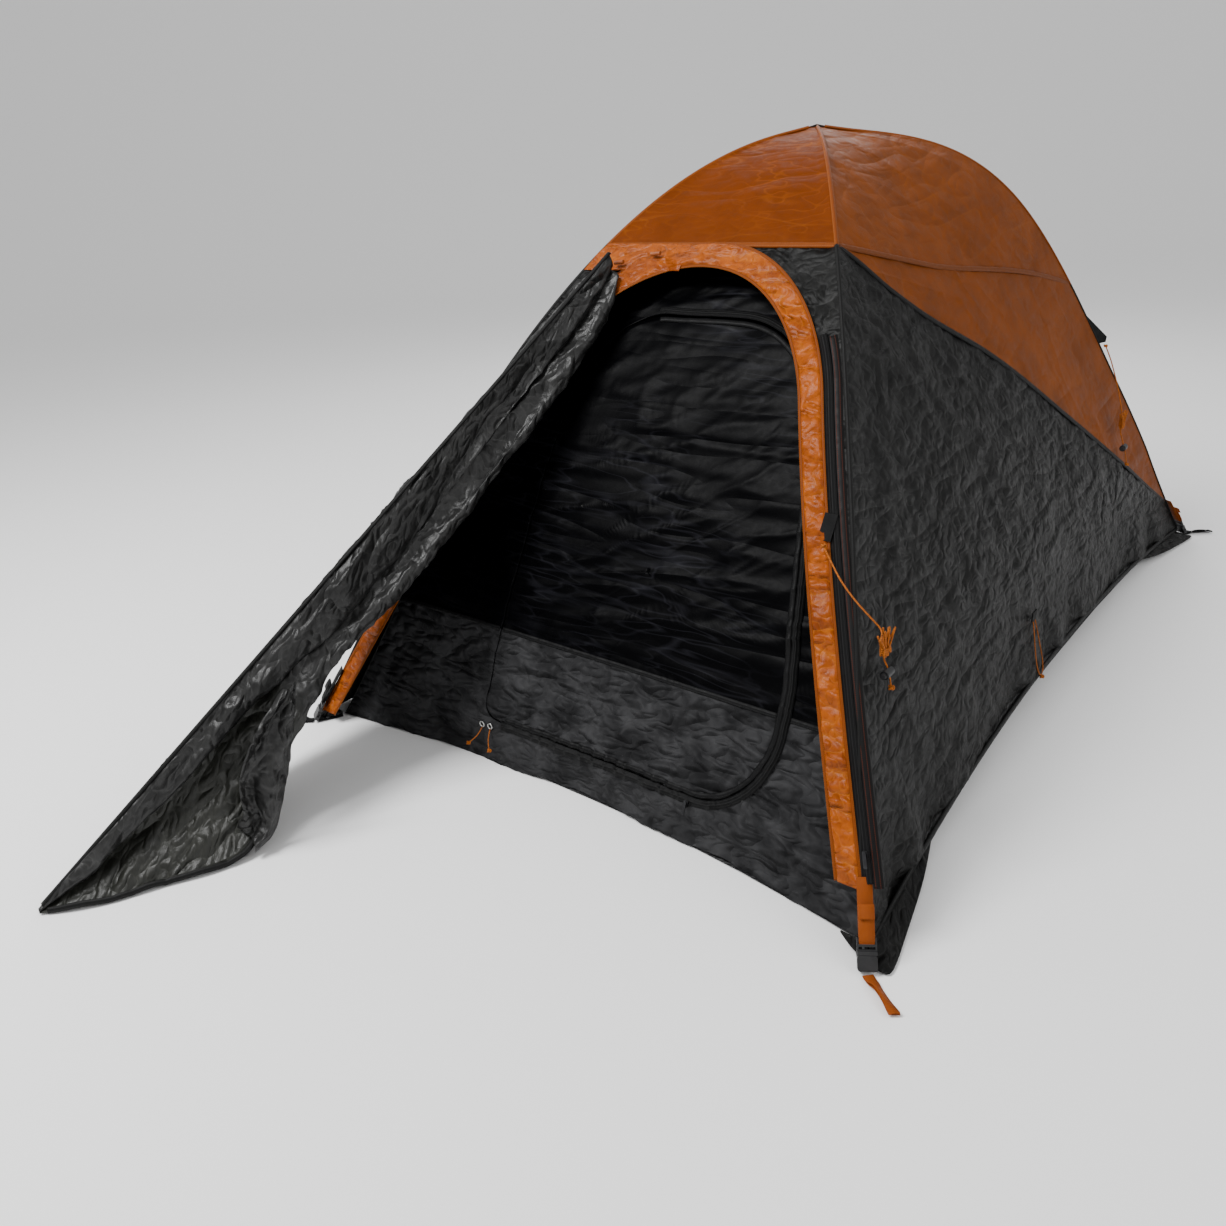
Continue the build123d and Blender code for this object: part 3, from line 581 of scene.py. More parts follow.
# the crown's one orange cloth in two copies that differ only to match how light falls on each face: deeper
# and darker on the front, paler and less saturated on the sides and back (painted light and shade); the band
# is its own brighter orange
orange = {"front": (0.130, 0.0255, 0.0008), "side": (0.185, 0.045, 0.0052), "band": (0.33, 0.068, 0.0026)}
grey = (0.0075, 0.0075, 0.0072)
mats = {
    # front copy of the orange crown cloth, toned for the light on the front face (painted light and shade)
    "orangeToneForFrontLight": clothMaterial("orange cloth toned for light on the front", orange["front"], (0.36, 0.10, 0.010),
                                 (0.100, 0.019, 0.0006), gloss=0.55, creaseTurn=-0.95, creaseStretch=4,
                                 creaseSize=0.05, creaseDepth=0.0026, fineDepth=0.0004, highlightShare=0.24,
                                 shine=0.045),
    # side copy of the orange crown cloth, toned for the light on the side and back faces (painted light and
    # shade)
    "orangeToneForSideLight": clothMaterial("orange cloth toned for light on the sides", orange["side"], (0.26, 0.078, 0.015),
                                (0.125, 0.031, 0.0045), gloss=0.5, creaseTurn=0.5, creaseStretch=3,
                                creaseSize=0.06, creaseDepth=0.0040, fineDepth=0.0008, highlightShare=0.18,
                                shine=0.06),
    "bandOrange": clothMaterial("band orange cloth", orange["band"], (0.65, 0.23, 0.020),
                                (0.17, 0.029, 0.0010), gloss=0.30, creaseTurn=0.7, creaseStretch=2.2,
                                creaseSize=0.036, creaseDepth=0.0085, fineDepth=0.0014, highlightShare=0.14,
                                shine=0.14),
    "flyGrey": clothMaterial("fly grey cloth", grey, (0.036, 0.036, 0.035), (0.0028, 0.0028, 0.0027),
                             gloss=0.45, creaseTurn=1.0, creaseStretch=2.2, creaseSize=0.042,
                             creaseDepth=0.0068, fineDepth=0.0016, highlightShare=0.28, shine=0.11),
    "flyInside": clothMaterial("fly inside coat", (0.010, 0.010, 0.009), (0.03, 0.03, 0.028),
                               (0.006, 0.006, 0.0055), gloss=0.4, creaseTurn=1.2, creaseStretch=3,
                               creaseSize=0.06, creaseDepth=0.003),
    "innerBlack": clothMaterial("inner black cloth", (0.0025, 0.0025, 0.0028), (0.02, 0.02, 0.022),
                                (0.0015, 0.0015, 0.0015), gloss=0.33, creaseTurn=0.22, creaseStretch=5,
                                creaseSize=0.055, creaseDepth=0.006, fineDepth=0.0007, highlightShare=0.10,
                                shine=0.1),
    "tubGrey": clothMaterial("tub grey cloth", (0.011, 0.011, 0.012), (0.035, 0.035, 0.037),
                             (0.006, 0.006, 0.0065), gloss=0.42, creaseTurn=1.2, creaseStretch=1.8,
                             creaseSize=0.035, creaseDepth=0.006, fineDepth=0.0013, highlightShare=0.2),
    "flapGrey": clothMaterial("flap grey cloth", (0.0175, 0.0175, 0.0171), (0.095, 0.095, 0.093),
                              (0.0055, 0.0055, 0.0054), gloss=0.36, creaseTurn=0.5, creaseStretch=2.2,
                              creaseSize=0.045, creaseDepth=0.0095, fineDepth=0.0019, highlightShare=0.18,
                              shine=0.30, lining=((0.019, 0.0195, 0.016), (0.0095, 0.010, 0.008),
                                                  (0.055, 0.056, 0.047))),
    "flapOlive": clothMaterial("flap lining", (0.018, 0.0185, 0.015), (0.04, 0.041, 0.035),
                               (0.009, 0.0095, 0.0075), gloss=0.5, creaseTurn=0.8, creaseStretch=2,
                               creaseSize=0.07, creaseDepth=0.004),
    "seamOrange": stitchMaterial("orange seam", (0.165, 0.035, 0.0015), (0.30, 0.09, 0.012)),
    "seamSide": stitchMaterial("side orange seam", (0.125, 0.031, 0.004), (0.19, 0.055, 0.010)),
    "seamGrey": stitchMaterial("grey seam", (0.0060, 0.0060, 0.0058), (0.020, 0.020, 0.020)),
    "seamBlack": stitchMaterial("black seam", (0.0035, 0.0035, 0.0038), (0.014, 0.014, 0.014)),
    "seamRed": stitchMaterial("storm flap seam", (0.0045, 0.0044, 0.0043), (0.10, 0.020, 0.010),
                              rows=(-0.005, 0.003)),
    "zipTape": stitchMaterial("zip tape", (0.0050, 0.0050, 0.0052), (0.022, 0.022, 0.022),
                              rows=(-0.005, 0.0, 0.005), pitch=0.0016),
    "webOrange": webbingMaterial("orange webbing", (0.34, 0.078, 0.007), (0.14, 0.027, 0.003)),
    "webBlack": webbingMaterial("black webbing", (0.008, 0.008, 0.0085), (0.003, 0.003, 0.003)),
    "buckle": hardMaterial("buckle plastic", (0.006, 0.006, 0.0065), 0.38, wear=(2.0, 2.0, 2.0)),
    "pole": hardMaterial("pole rod", (0.014, 0.0145, 0.015), 0.30, grain=900.0),
    "steel": hardMaterial("sleeve metal", (0.55, 0.56, 0.58), 0.28, metal=1.0, grain=1200.0,
                          wear=(0.7, 0.7, 0.7)),
    "slider": hardMaterial("slider metal", (0.035, 0.035, 0.037), 0.42, metal=1.0, wear=(1.8, 1.8, 1.8)),
    "ring": hardMaterial("ring metal", (0.62, 0.62, 0.60), 0.22, metal=1.0, wear=(0.7, 0.7, 0.7)),
    "toggle": hardMaterial("toggle plastic", (0.22, 0.050, 0.006), 0.35, wear=(1.5, 1.8, 2.2)),
    "cord": cordMaterial("guyline cord", (0.42, 0.115, 0.012), (0.10, 0.030, 0.008)),
}

# the outer face and the inner face of each cloth
coated = ("orangeToneForFrontLight", "orangeToneForSideLight", "bandOrange", "flyGrey", "innerBlack")
skins = {name: [mats[name], mats["flyInside"]] for name in coated}
flapSkin = [mats["flapGrey"], mats["flapOlive"]]

# Camera, light and floor
view = {"place": (1.172, -2.219, 1.181), "azimuth": 39.99, "elevation": 24.87, "roll": -3.90, "lens": 29.13}


def makeCamera():
    a, e, r = (math.radians(view[k]) for k in ("azimuth", "elevation", "roll"))
    back = Vector((math.sin(a) * math.cos(e), -math.cos(a) * math.cos(e), math.sin(e)))
    right = Vector((math.cos(a), math.sin(a), 0))
    up = back.cross(right)
    across = right * math.cos(r) + up * math.sin(r)
    above = up * math.cos(r) - right * math.sin(r)
    camera = bpy.data.objects.new("camera", bpy.data.cameras.new("camera"))
    camera.data.lens = view["lens"]
    camera.data.sensor_width = 36.0
    camera.data.clip_start = 0.01
    turned = Matrix((across, above, back)).transposed().to_4x4()
    camera.matrix_world = Matrix.Translation(view["place"]) @ turned
    bpy.context.collection.objects.link(camera)
    bpy.context.scene.camera = camera


lights = {
    "sky": 0.66,
    "key": {"place": (-1.2, -2.6, 3.6), "aim": (0.0, 0.0, 0.3), "size": 1.7, "power": 210.0},
    "fill": {"place": (3.4, -0.6, 2.4), "aim": (0.3, 0.0, 0.4), "size": 2.6, "power": 40.0},
    "rim": {"place": (-1.5, 3.0, 3.0), "aim": (0.0, 0.2, 0.6), "size": 2.0, "power": 45.0},
}


def makeStage():
    for name in ("key", "fill", "rim"):
        s = lights[name]
        lamp = bpy.data.objects.new(name, bpy.data.lights.new(name, "AREA"))
        lamp.data.size = s["size"]
        lamp.data.energy = s["power"]
        lamp.location = s["place"]
        lamp.rotation_euler = (Vector(s["aim"]) - Vector(s["place"])).to_track_quat("-Z", "Y").to_euler()
        bpy.context.collection.objects.link(lamp)
    world = bpy.data.worlds.new("studio")
    world.use_nodes = True
    world.node_tree.nodes["Background"].inputs["Color"].default_value = (1, 1, 1, 1)
    world.node_tree.nodes["Background"].inputs["Strength"].default_value = lights["sky"]
    bpy.context.scene.world = world
    # flat floor that curves up into a wall behind, in one smooth sheet
    turn = steps(0, math.pi / 2, 24)
    bend = np.stack([7 + 5 * np.sin(turn), 5 - 5 * np.cos(turn)], -1)
    back = np.concatenate([[(-9.0, 0.0)], bend, [(12.0, 14.0)]])
    wide = np.array([-16.0, 16.0])
    depth, rise = np.broadcast_to(back[:, None, 0], (26, 2)), np.broadcast_to(back[:, None, 1], (26, 2))
    away = np.array([-math.sin(math.radians(view["azimuth"])), math.cos(math.radians(view["azimuth"]))])
    beside = np.array([away[1], -away[0]])
    level = depth[..., None] * away + (wide[None, :] + 0 * depth)[..., None] * beside
    points = np.concatenate([level, rise[..., None] - 0.002], -1)
    index = np.arange(52).reshape(26, 2)
    quads = np.stack([index[:-1, 0], index[:-1, 1], index[1:, 1], index[1:, 0]], -1)
    floor = bpy.data.meshes.new("floor")
    floor.from_pydata(points.reshape(-1, 3), [], quads)
    floor.polygons.foreach_set("use_smooth", np.ones(len(floor.polygons), bool))
    ground = bpy.data.objects.new("floor", floor)
    bpy.context.collection.objects.link(ground)
    g = Graph("floor")
    g.set("Base Color", (0.97, 0.97, 0.97))
    g.set("Roughness", 0.9)
    floor.materials.append(g.material)
    ground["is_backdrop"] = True


makeCamera()
makeStage()
print("camera and stage done")

# Cords
cords = {
    "guyline": 0.003,
    "loop": 0.0025,
    "folds": 9,  # times the spare cord runs up and down in its hank
    "wraps": 3,
    "hank": (0.016, 0.068, 0.054),
}


def cordCurve(name, route, diameter, material):
    # a round cord drawn as a smooth curve near its route
    curve = bpy.data.curves.new(name, "CURVE")
    curve.dimensions = "3D"
    spline = curve.splines.new("NURBS")
    spline.points.add(len(route) - 1)
    flat = np.concatenate([np.asarray(route, float), np.ones((len(route), 1))], 1)
    spline.points.foreach_set("co", flat.astype(np.float32).ravel())
    spline.order_u = 3
    spline.use_endpoint_u = True
    spline.resolution_u = 8
    curve.bevel_depth = diameter / 2
    curve.bevel_resolution = 3
    curve.use_fill_caps = True
    curve.materials.append(material)
    piece = bpy.data.objects.new(name, curve)
    bpy.context.collection.objects.link(piece)
    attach(piece, "tent")
    return piece


def hankPoints(centre):
    # cord that runs up and down a fan of folds, then winds round its neck
    cx, cy, cz = centre
    sx, sy, sz = cords["hank"]
    points = []
    gap = 0.0022  # half the width of a fold's bend
    for k in range(cords["folds"]):
        t = k / (cords["folds"] - 1) * 2 - 1
        x = cx + sx * 0.28 * math.cos(k * 2.4)
        top = (x, cy + t * sy * 0.42, cz + sz * (0.50 - 0.16 * abs(t)))
        low = (x + 0.001, cy + t * sy * 0.17, cz - sz * (0.47 - 0.08 * abs(t)))
        points += [(top[0], top[1] - gap, top[2] - 0.002), (top[0], top[1] + gap * 0.4, top[2] + 0.001)]
        points += [(x, cy + t * sy * 0.13, cz - sz * 0.16), (low[0], low[1] - gap, low[2] + 0.003)]
        points += [(low[0], low[1] + gap, low[2]), (x + 0.001, cy + (t + 0.1) * sy * 0.13, cz - sz * 0.12)]
    for k in range(cords["wraps"] * 8):
        turn = k / 8 * 2 * math.pi
        low = cz - sz * 0.10 - k * 0.00045
        points.append((cx + (sx * 0.42) * math.cos(turn), cy + sy * 0.15 * math.sin(turn), low))
    return points


def millimetres(*points):
    return [tuple(x / 1000 for x in p) for p in points]


def knot(name, place, radius, material):
    # an overhand knot: a short tube along a trefoil, (sin t + 2 sin 2t, cos t - 2 cos 2t, -sin 3t)
    t = steps(0, 2 * math.pi, 49)[:-1]
    flat = np.stack([np.sin(t) + 2 * np.sin(2 * t), np.cos(t) - 2 * np.cos(2 * t), -1.4 * np.sin(3 * t)], -1)
    path = np.asarray(place) + flat / 3 * radius
    return closedTube(name, path, radius * 0.42, material)


def closedTube(name, path, radius, material, around=10):
    # a round bar along a closed path
    ahead = np.roll(path, -1, 0) - np.roll(path, 1, 0)
    tangent = unit(ahead)
    side = unit(np.cross(tangent, np.array([0.3, 0.5, 0.81])))
    up = np.cross(side, tangent)
    turn = steps(0, 2 * math.pi, around + 1)[:-1]
    ring = side[:, None] * np.cos(turn)[None, :, None] + up[:, None] * np.sin(turn)[None, :, None]
    points = path[:, None] + radius * ring
    points = np.concatenate([points, points[:1]], 0)
    uv = np.stack(np.broadcast_arrays(steps(0, 0.05, len(points))[:, None], turn[None, :] * 0.003), -1)
    piece = gridPiece(name, points, uv, [material], wrap=True)
    tidyMesh(piece.data)
    return piece


frontLine = millimetres((452, -800, 560), (474, -818, 546), (503, -838, 523), (533, -843, 495),
                        (560, -838, 468), (578, -827, 444))
rearLine = millimetres((489, 752, 622), (507, 738, 597), (524, 721, 568), (541, 704, 537), (557, 688, 503),
                       (572, 672, 466))
frontTail = millimetres((580, -826, 394), (588, -825, 380), (593, -824.5, 362), (596, -824.5, 344))
rearTail = millimetres((574, 670, 416), (586, 668.5, 388), (597, 668, 358), (604, 668, 328))
frontRoute = frontLine + hankPoints((0.582, -0.827, 0.423)) + frontTail
rearRoute = rearLine + hankPoints((0.576, 0.671, 0.445)) + rearTail
frontCord = cordCurve("frontCord", frontRoute, cords["guyline"], mats["cord"])
rearCord = cordCurve("rearCord", rearRoute, cords["guyline"], mats["cord"])
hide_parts("front_guyline", "front_guyline_hank", "front_guyline_tail")
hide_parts("rear_guyline", "rear_guyline_hank", "rear_guyline_tail")
frontKnots = [knot("frontKnotTop", (0.4525, -0.8005, 0.5600), 0.0042, mats["cord"]),
              knot("frontKnotEnd", (0.5965, -0.8245, 0.3425), 0.0045, mats["cord"])]
rearKnots = [knot("rearKnotTop", (0.4895, 0.7515, 0.6215), 0.0042, mats["cord"]),
             knot("rearKnotEnd", (0.6045, 0.6680, 0.3265), 0.0045, mats["cord"])]
loopRoute = millimetres((625, -127, 184), (631, -131, 160), (637, -135, 132), (643, -138, 104),
                        (649, -138, 80), (653, -131, 62), (655, -119, 55), (654, -109, 64), (650, -105, 84),
                        (644, -106, 108), (637, -108, 134), (631, -111, 160), (625, -114, 184))
sideLoop = cordCurve("sideLoop", loopRoute, cords["loop"], mats["cord"])
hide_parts("side_loop")
loopKnot = knot("sideLoopKnot", (0.6555, -0.119, 0.0520), 0.0045, mats["cord"])


def innerFrontY(x, z):
    # y of the inner tent's front face at a place on it
    reach = anyReach(z, dome["innerCrown"])
    return facePoint("front", x, reach, inner=True)[..., 1]


for side, x, z, sway, length in (("Left", -0.247, 0.080, -0.030, 0.055),
                                 ("Right", -0.224, 0.081, 0.010, 0.047)):
    y = float(innerFrontY(np.float64(x), np.float64(z))) - 0.007
    low = z - 0.0072
    route = [(x, y - 0.001, low), (x + sway * 0.12, y - 0.009, low - 0.013),
             (x + sway * 0.5, y - 0.016, low - 0.027), (x + sway, y - 0.020, low - 0.040)]
    tie = cordCurve("tie" + side, route, cords["loop"], mats["cord"])
    end = knot("tieKnot" + side, route[-1], 0.004, mats["cord"])
    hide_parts("tie_end_" + side.lower())
print("cords done")

# Fly panels
def faceGrid(face, low, high, cells, inner=False):
    # rows run between two level lines, columns between two shares of the face's width
    f = faces[face]
    crown = dome["innerCrown"] if inner else dome["flyCrown"]
    side = f["side"] * (dome["innerShare"] if inner else 1.0)
    share = steps(-1.0, 1.0, cells[0])
    start = solveReach(low, share, side, crown)
    end = solveReach(high, share, side, crown) if high else np.zeros_like(share)
    t = steps(0, 1, cells[1])
    reach = start[:, None] + (end - start)[:, None] * t[None, :]
    along = share[:, None] * side * reach
    return share[:, None] * np.ones_like(reach), along, reach


def facePanel(name, node, face, low, high, cells, materials, wave, inner=False):
    # a dome face between two lines, pushed along its normal by wave(share, along, meridian, height)
    share, along, reach = faceGrid(face, low, high, cells, inner)
    crown = dome["innerCrown"] if inner else dome["flyCrown"]
    points = facePoint(face, along, reach, inner)
    run = meridian(reach, face, inner)
    normals = gridNormals(points)
    outward = points * [1, 1, 0.6]
    flip = float((normals[:, 1:-1] * outward[:, 1:-1]).sum()) < 0
    if flip:
        normals = -normals
    moved = points + normals * wave(share, along, run, heightAt(reach, crown))[..., None]
    piece = gridPiece(name, moved, np.stack([along, -run], -1), materials, thick=0.0008, flip=flip,
                      pinch=not high)
    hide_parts(node)
    return piece


def groinFade(share):
    # cloth is still where it meets the poles
    return 1 - smooth(0.82, 1.0, np.abs(share))


def crownWave(share, along, run, height):
    # long creases both ways off the pole, 2.8 mm high, on cloth that sags 5 mm
    folds = crease(along, run, 0.8, 0.09, 0.5, 3) + 0.6 * crease(along, run, -0.6, 0.07, 0.4, 5)
    return groinFade(share) * (0.0028 * folds - 0.0050)


def topWave(share, along, run, height):
    # creases along the seam and down from it, 3.2 mm high, on cloth that sags 6 mm
    folds = crease(along, run, 0.35, 0.10, 0.6, 11) + 0.7 * crease(along, run, 1.2, 0.06, 0.3, 13)
    return groinFade(share) * (0.0032 * folds - 0.0058)


def lowerWave(share, along, run, height):
    # steep long creases plus a finer crumple, and a sine along the hem that dies out above it
    folds = crease(along, run, 1.35, 0.09, 0.35, 17) + 0.7 * crease(along, run, 0.7, 0.05, 0.13, 19)
    small = crease(along, run, -0.5, 0.022, 0.05, 21, 2) + crease(along, run, 1.1, 0.017, 0.05, 22, 2)
    hem = 0.008 * np.sin(along * 21 + 2 * np.sin(along * 7)) * smooth(0.22, 0.02, height)
    return groinFade(share) * (0.0032 * folds + 0.0022 * small - 0.0085 + hem)


facePanel("flyFrontTop", "fly_front_top", "front", flatLine(seams["front"]), None, (120, 60),
          skins["orangeToneForFrontLight"], crownWave)
for side in ("right", "left"):
    facePanel("fly" + side.title() + "Crown", f"fly_{side}_crown", side, sideSeam, None, (180, 70),
              skins["orangeToneForSideLight"], crownWave)
    facePanel("fly" + side.title() + "Top", f"fly_{side}_top", side, splitLine, sideSeam, (220, 90),
              skins["orangeToneForSideLight"], topWave)
    facePanel("fly" + side.title() + "Lower", f"fly_{side}_lower", side, hemLine(dome["halfLength"]),
              splitLine, (240, 140), skins["flyGrey"], lowerWave)
facePanel("flyBackCrown", "fly_back_crown", "back", flatLine(seams["rear"]), None, (120, 90),
          skins["orangeToneForSideLight"], crownWave)
facePanel("flyBackPanel", "fly_back_panel", "back", hemLine(dome["halfWidth"]), flatLine(seams["rear"]),
          (150, 130), skins["flyGrey"], lowerWave)
print("fly panels done")


# Front of the fly: wings and arch band
def legX(height, gap):
    # x beside the right arch leg, a gap outside the arch
    r = arch["radius"] + gap
    shoulder = arch["centre"] + r * math.sin(arch["lean"])
    leg = r * math.cos(arch["lean"]) + (shoulder - height) * math.tan(arch["lean"])
    curve = np.sqrt(np.maximum(r * r - (height - arch["centre"]) ** 2, 0))
    return np.where(height < shoulder, leg, curve)


def frontPoint(x, z, off=0.0):
    # a point of the fly's front face, moved off it along its normal
    reach = anyReach(z, dome["flyCrown"])
    p = facePoint("front", x, reach)
    step = 1e-3
    q = facePoint("front", x, anyReach(z + step, dome["flyCrown"]))
    n = unit(np.cross(np.array([1.0, 0, 0]), q - p))
    return p + n * np.asarray(off)[..., None]


def frontGrid(name, node, x, z, wave, materials):
    # a piece of the front face over a grid of (x, z), pushed off it by wave(x, z)
    points = frontPoint(x, z, wave(x, z))
    normals = gridNormals(points)
    flip = normals[..., 1].mean() > 0
    run = -meridian(anyReach(z, dome["flyCrown"]), "front")
    piece = gridPiece(name, points, np.stack([x, run], -1), materials, thick=0.0008,
                      flip=bool(flip))
    if node:
        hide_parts(node)
    gridArea(frontPoint(x, z, 0 * x))
    return piece


def wingWave(x, z):
    # creases nearly upright, still at the pole, on cloth that sags 7.5 mm
    groin = 1 - smooth(0.90, 1.0, np.abs(x) / (dome["halfWidth"] * anyReach(z, dome["flyCrown"])))
    return groin * (0.004 * crease(x, z, 1.45, 0.05, 0.4, 23) + 0.0035 * crease(x, z, 1.1, 0.02, 0.09, 25, 2)
                    - 0.0075)


for side, sign in (("right", 1), ("left", -1)):
    height = steps(arch["foot"], seams["front"] - 0.0005, 150)
    inner = legX(height, 0.0)
    outer = dome["halfWidth"] * anyReach(height, dome["flyCrown"])
    t = steps(0, 1, 40)
    x = sign * (inner[:, None] + (outer - inner)[:, None] * t[None, :])
    z = height[:, None] + 0 * x
    frontGrid("flyFront" + side.title(), f"fly_front_{side}", x, z, wingWave, skins["flyGrey"])


def archPath(gap, count, leftFoot, rightFoot):
    # (x, z) from the left foot over the top to the right foot, with the leg's angle (0 at the top)
    r = arch["radius"] + gap
    turn = math.pi / 2 - arch["lean"]
    theta = steps(-turn, turn, count)
    top = np.stack([r * np.sin(theta), arch["centre"] + r * np.cos(theta)], -1)

    def leg(foot):
        height = steps(foot, top[-1, 1], count // 2)
        return np.stack([legX(height, gap), height], -1)

    path = np.concatenate([(leg(leftFoot) * [-1, 1])[:-1], top, leg(rightFoot)[::-1][1:]])
    d = alongPath(path)
    at = steps(0, d[-1], count * 2)
    return np.stack([np.interp(at, d, path[:, 0]), np.interp(at, d, path[:, 1])], -1)


band = {"leftFoot": 0.022, "rightFoot": 0.100, "depth": 0.0085}
outerEdge = archPath(0.0, 260, band["leftFoot"], band["rightFoot"])
innerEdge = archPath(-arch["band"], 260, band["leftFoot"], band["rightFoot"])
t = steps(0, 1, 18)
bandX = outerEdge[:, None, 0] + (innerEdge - outerEdge)[:, None, 0] * t
bandZ = outerEdge[:, None, 1] + (innerEdge - outerEdge)[:, None, 1] * t


def bandWave(x, z):
    # broad creases aslant, plus finer ones nearer the level
    broad = 0.8 * band["depth"] * crease(x, z, 0.5, 0.046, 0.075, 31, 1.2)
    return broad + 0.0030 * crease(x, z, 1.1, 0.030, 0.070, 33, 1.2) - 0.0030


bandStill = smooth(0, 0.12, t) * (1 - smooth(0.88, 1, t)) * smooth(0.0, 0.10, bandZ)
frontGrid("archBand", "arch_band", bandX, np.minimum(bandZ, seams["front"] - 0.0004),
          lambda x, z: bandWave(x, z) * bandStill,
          skins["bandOrange"])
cornerZ = steps(0.952, seams["front"] - 0.0004, 16)
cornerSide = dome["halfWidth"] * anyReach(cornerZ, dome["flyCrown"])
cornerX = -(0.05 + (cornerSide - 0.052)[:, None] * steps(0, 1, 50)[None, :])
frontGrid("archCorner", None, cornerX, cornerZ[:, None] + 0 * cornerX,
          lambda x, z: bandWave(x, z) * 0.5 + 0.0005, skins["bandOrange"])
print("arch done")

# Seams
felled = [(-0.0060, -0.0040), (-0.0058, -0.0010), (-0.0030, 0.0004), (0, 0.0), (0.0030, 0.0004),
          (0.0058, -0.0010), (0.0060, -0.0040)]
piped = [(-0.0046, -0.0040), (-0.0042, -0.0012), (-0.0026, 0.0002), (-0.0014, 0.0014), (0, 0.0020),
         (0.0014, 0.0014), (0.0026, 0.0002), (0.0042, -0.0012), (0.0046, -0.0040)]
bound = [(-0.0055, -0.0022), (-0.0055, 0.0016), (0, 0.0024), (0.0055, 0.0016), (0.0055, -0.0022)]


def groinPath(sx, sy, high, low):
    # a pole line of the dome between two heights
    reach = steps(float(anyReach(high, dome["flyCrown"])), float(anyReach(low, dome["flyCrown"])), 160)
    return facePoint("right" if sx > 0 else "left", sy * dome["halfLength"] * reach, reach)


def domeOut(path):
    # outward direction of the dome's diagonal at each point of a path
    tangent = unit(np.gradient(path, axis=0))
    level = unit(np.cross(tangent, np.array([0, 0, 1.0])))
    return unit(np.cross(level, tangent)) * np.sign(np.cross(level, tangent)[:, 2:3] + 1e-9)


for name, sx, sy, seam in (("FrontRight", 1, -1, seams["front"]), ("FrontLeft", -1, -1, seams["front"]),
                           ("RearRight", 1, 1, seams["rear"]), ("RearLeft", -1, 1, seams["rear"])):
    high = groinPath(sx, sy, dome["flyCrown"] - 0.0004, seam)
    sweptStrip("ridge" + name + "Top", high, domeOut(high), piped, mats["seamOrange"])
    low = groinPath(sx, sy, seam, 0.03)
    sweptStrip("ridge" + name + "Low", low, domeOut(low), piped, mats["seamGrey"])


def faceLine(face, level):
    # the line on a dome face where its height is level(along)
    f = faces[face]
    share = steps(-0.99, 0.99, 200)
    reach = solveReach(level, share, f["side"], dome["flyCrown"])
    p = facePoint(face, share * f["side"] * reach, reach)
    q = facePoint(face, share * f["side"] * reach, reach - 0.004)
    tangent = unit(np.gradient(p, axis=0))
    n = unit(np.cross(tangent, q - p))
    n = n * np.sign((n * (p * [1, 1, 0.5])).sum(-1, keepdims=True))
    return p, n


for face, level in (("front", flatLine(seams["front"])), ("back", flatLine(seams["rear"])),
                    ("right", sideSeam), ("left", sideSeam)):
    path, n = faceLine(face, level)
    thread = mats["seamOrange" if face == "front" else "seamSide"]
    sweptStrip("crownSeam" + face.title(), path, n, felled, thread)
for face in ("right", "left"):
    path, n = faceLine(face, splitLine)
    sweptStrip("splitSeam" + face.title(), path, n, felled, mats["seamGrey"])
    path, n = faceLine(face, hemLine(dome["halfLength"]))
    sweptStrip("hem" + face.title(), path, n, bound, mats["seamGrey"])
path, n = faceLine("back", hemLine(dome["halfWidth"]))
sweptStrip("hemBack", path, n, bound, mats["seamGrey"])
topstitch = [(-0.003, -0.0010), (-0.003, 0.0010), (0.003, 0.0010), (0.003, -0.0010)]
for tag, edge in (("Outer", outerEdge), ("Inner", innerEdge)):
    x, z = edge[:, 0], np.minimum(edge[:, 1], seams["front"])
    path = frontPoint(x, z, 0.0008 + 0 * x)
    n = unit(frontPoint(x, z, 0.01 + 0 * x) - path)
    sweptStrip("archSeam" + tag, path, n, topstitch, mats["seamOrange"])
print("seams done")

# Porch zip and its storm flap
zipAt = {"low": 0.112, "high": 0.860, "gap": 0.012, "flapGap": 0.029}
zipZ = steps(zipAt["low"], zipAt["high"], 200)
toothed = [(-0.0085, -0.003), (-0.0085, 0.0002), (-0.002, 0.0004), (-0.0016, 0.0014), (0.0016, 0.0014),
           (0.002, 0.0004), (0.0085, 0.0002), (0.0085, -0.003)]
covering = [(-0.008, -0.004), (-0.008, 0.0008), (-0.007, 0.0012), (0.007, 0.0000), (0.008, -0.004)]
for name, gap, profile, mat, off in (("porchZipTape", zipAt["gap"], toothed, "zipTape", 0.0010),
                                     ("porchStormFlap", zipAt["flapGap"], covering, "seamRed", 0.0002)):
    x = legX(zipZ, gap)
    path = frontPoint(x, zipZ, off + 0 * x)
    n = unit(frontPoint(x, zipZ, 0.01 + off + 0 * x) - path)
    strip = sweptStrip(name, path, n, profile, mats[mat])
    if name == "porchZipTape":
        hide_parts("vestibule_zip")
print("porch zip done")

# Inner tent
inner = {
    "tubTop": 0.270,
    "tuck": 0.022,
    "door": [(-0.250, 0.092), (0.436, 0.092), (0.436, 0.300), (0.310, 0.872), (-0.250, 0.872)],
    "radii": [0.040, 0.150, 0.200, 0.260, 0.180],
    "middle": (0.080, 0.440),
}


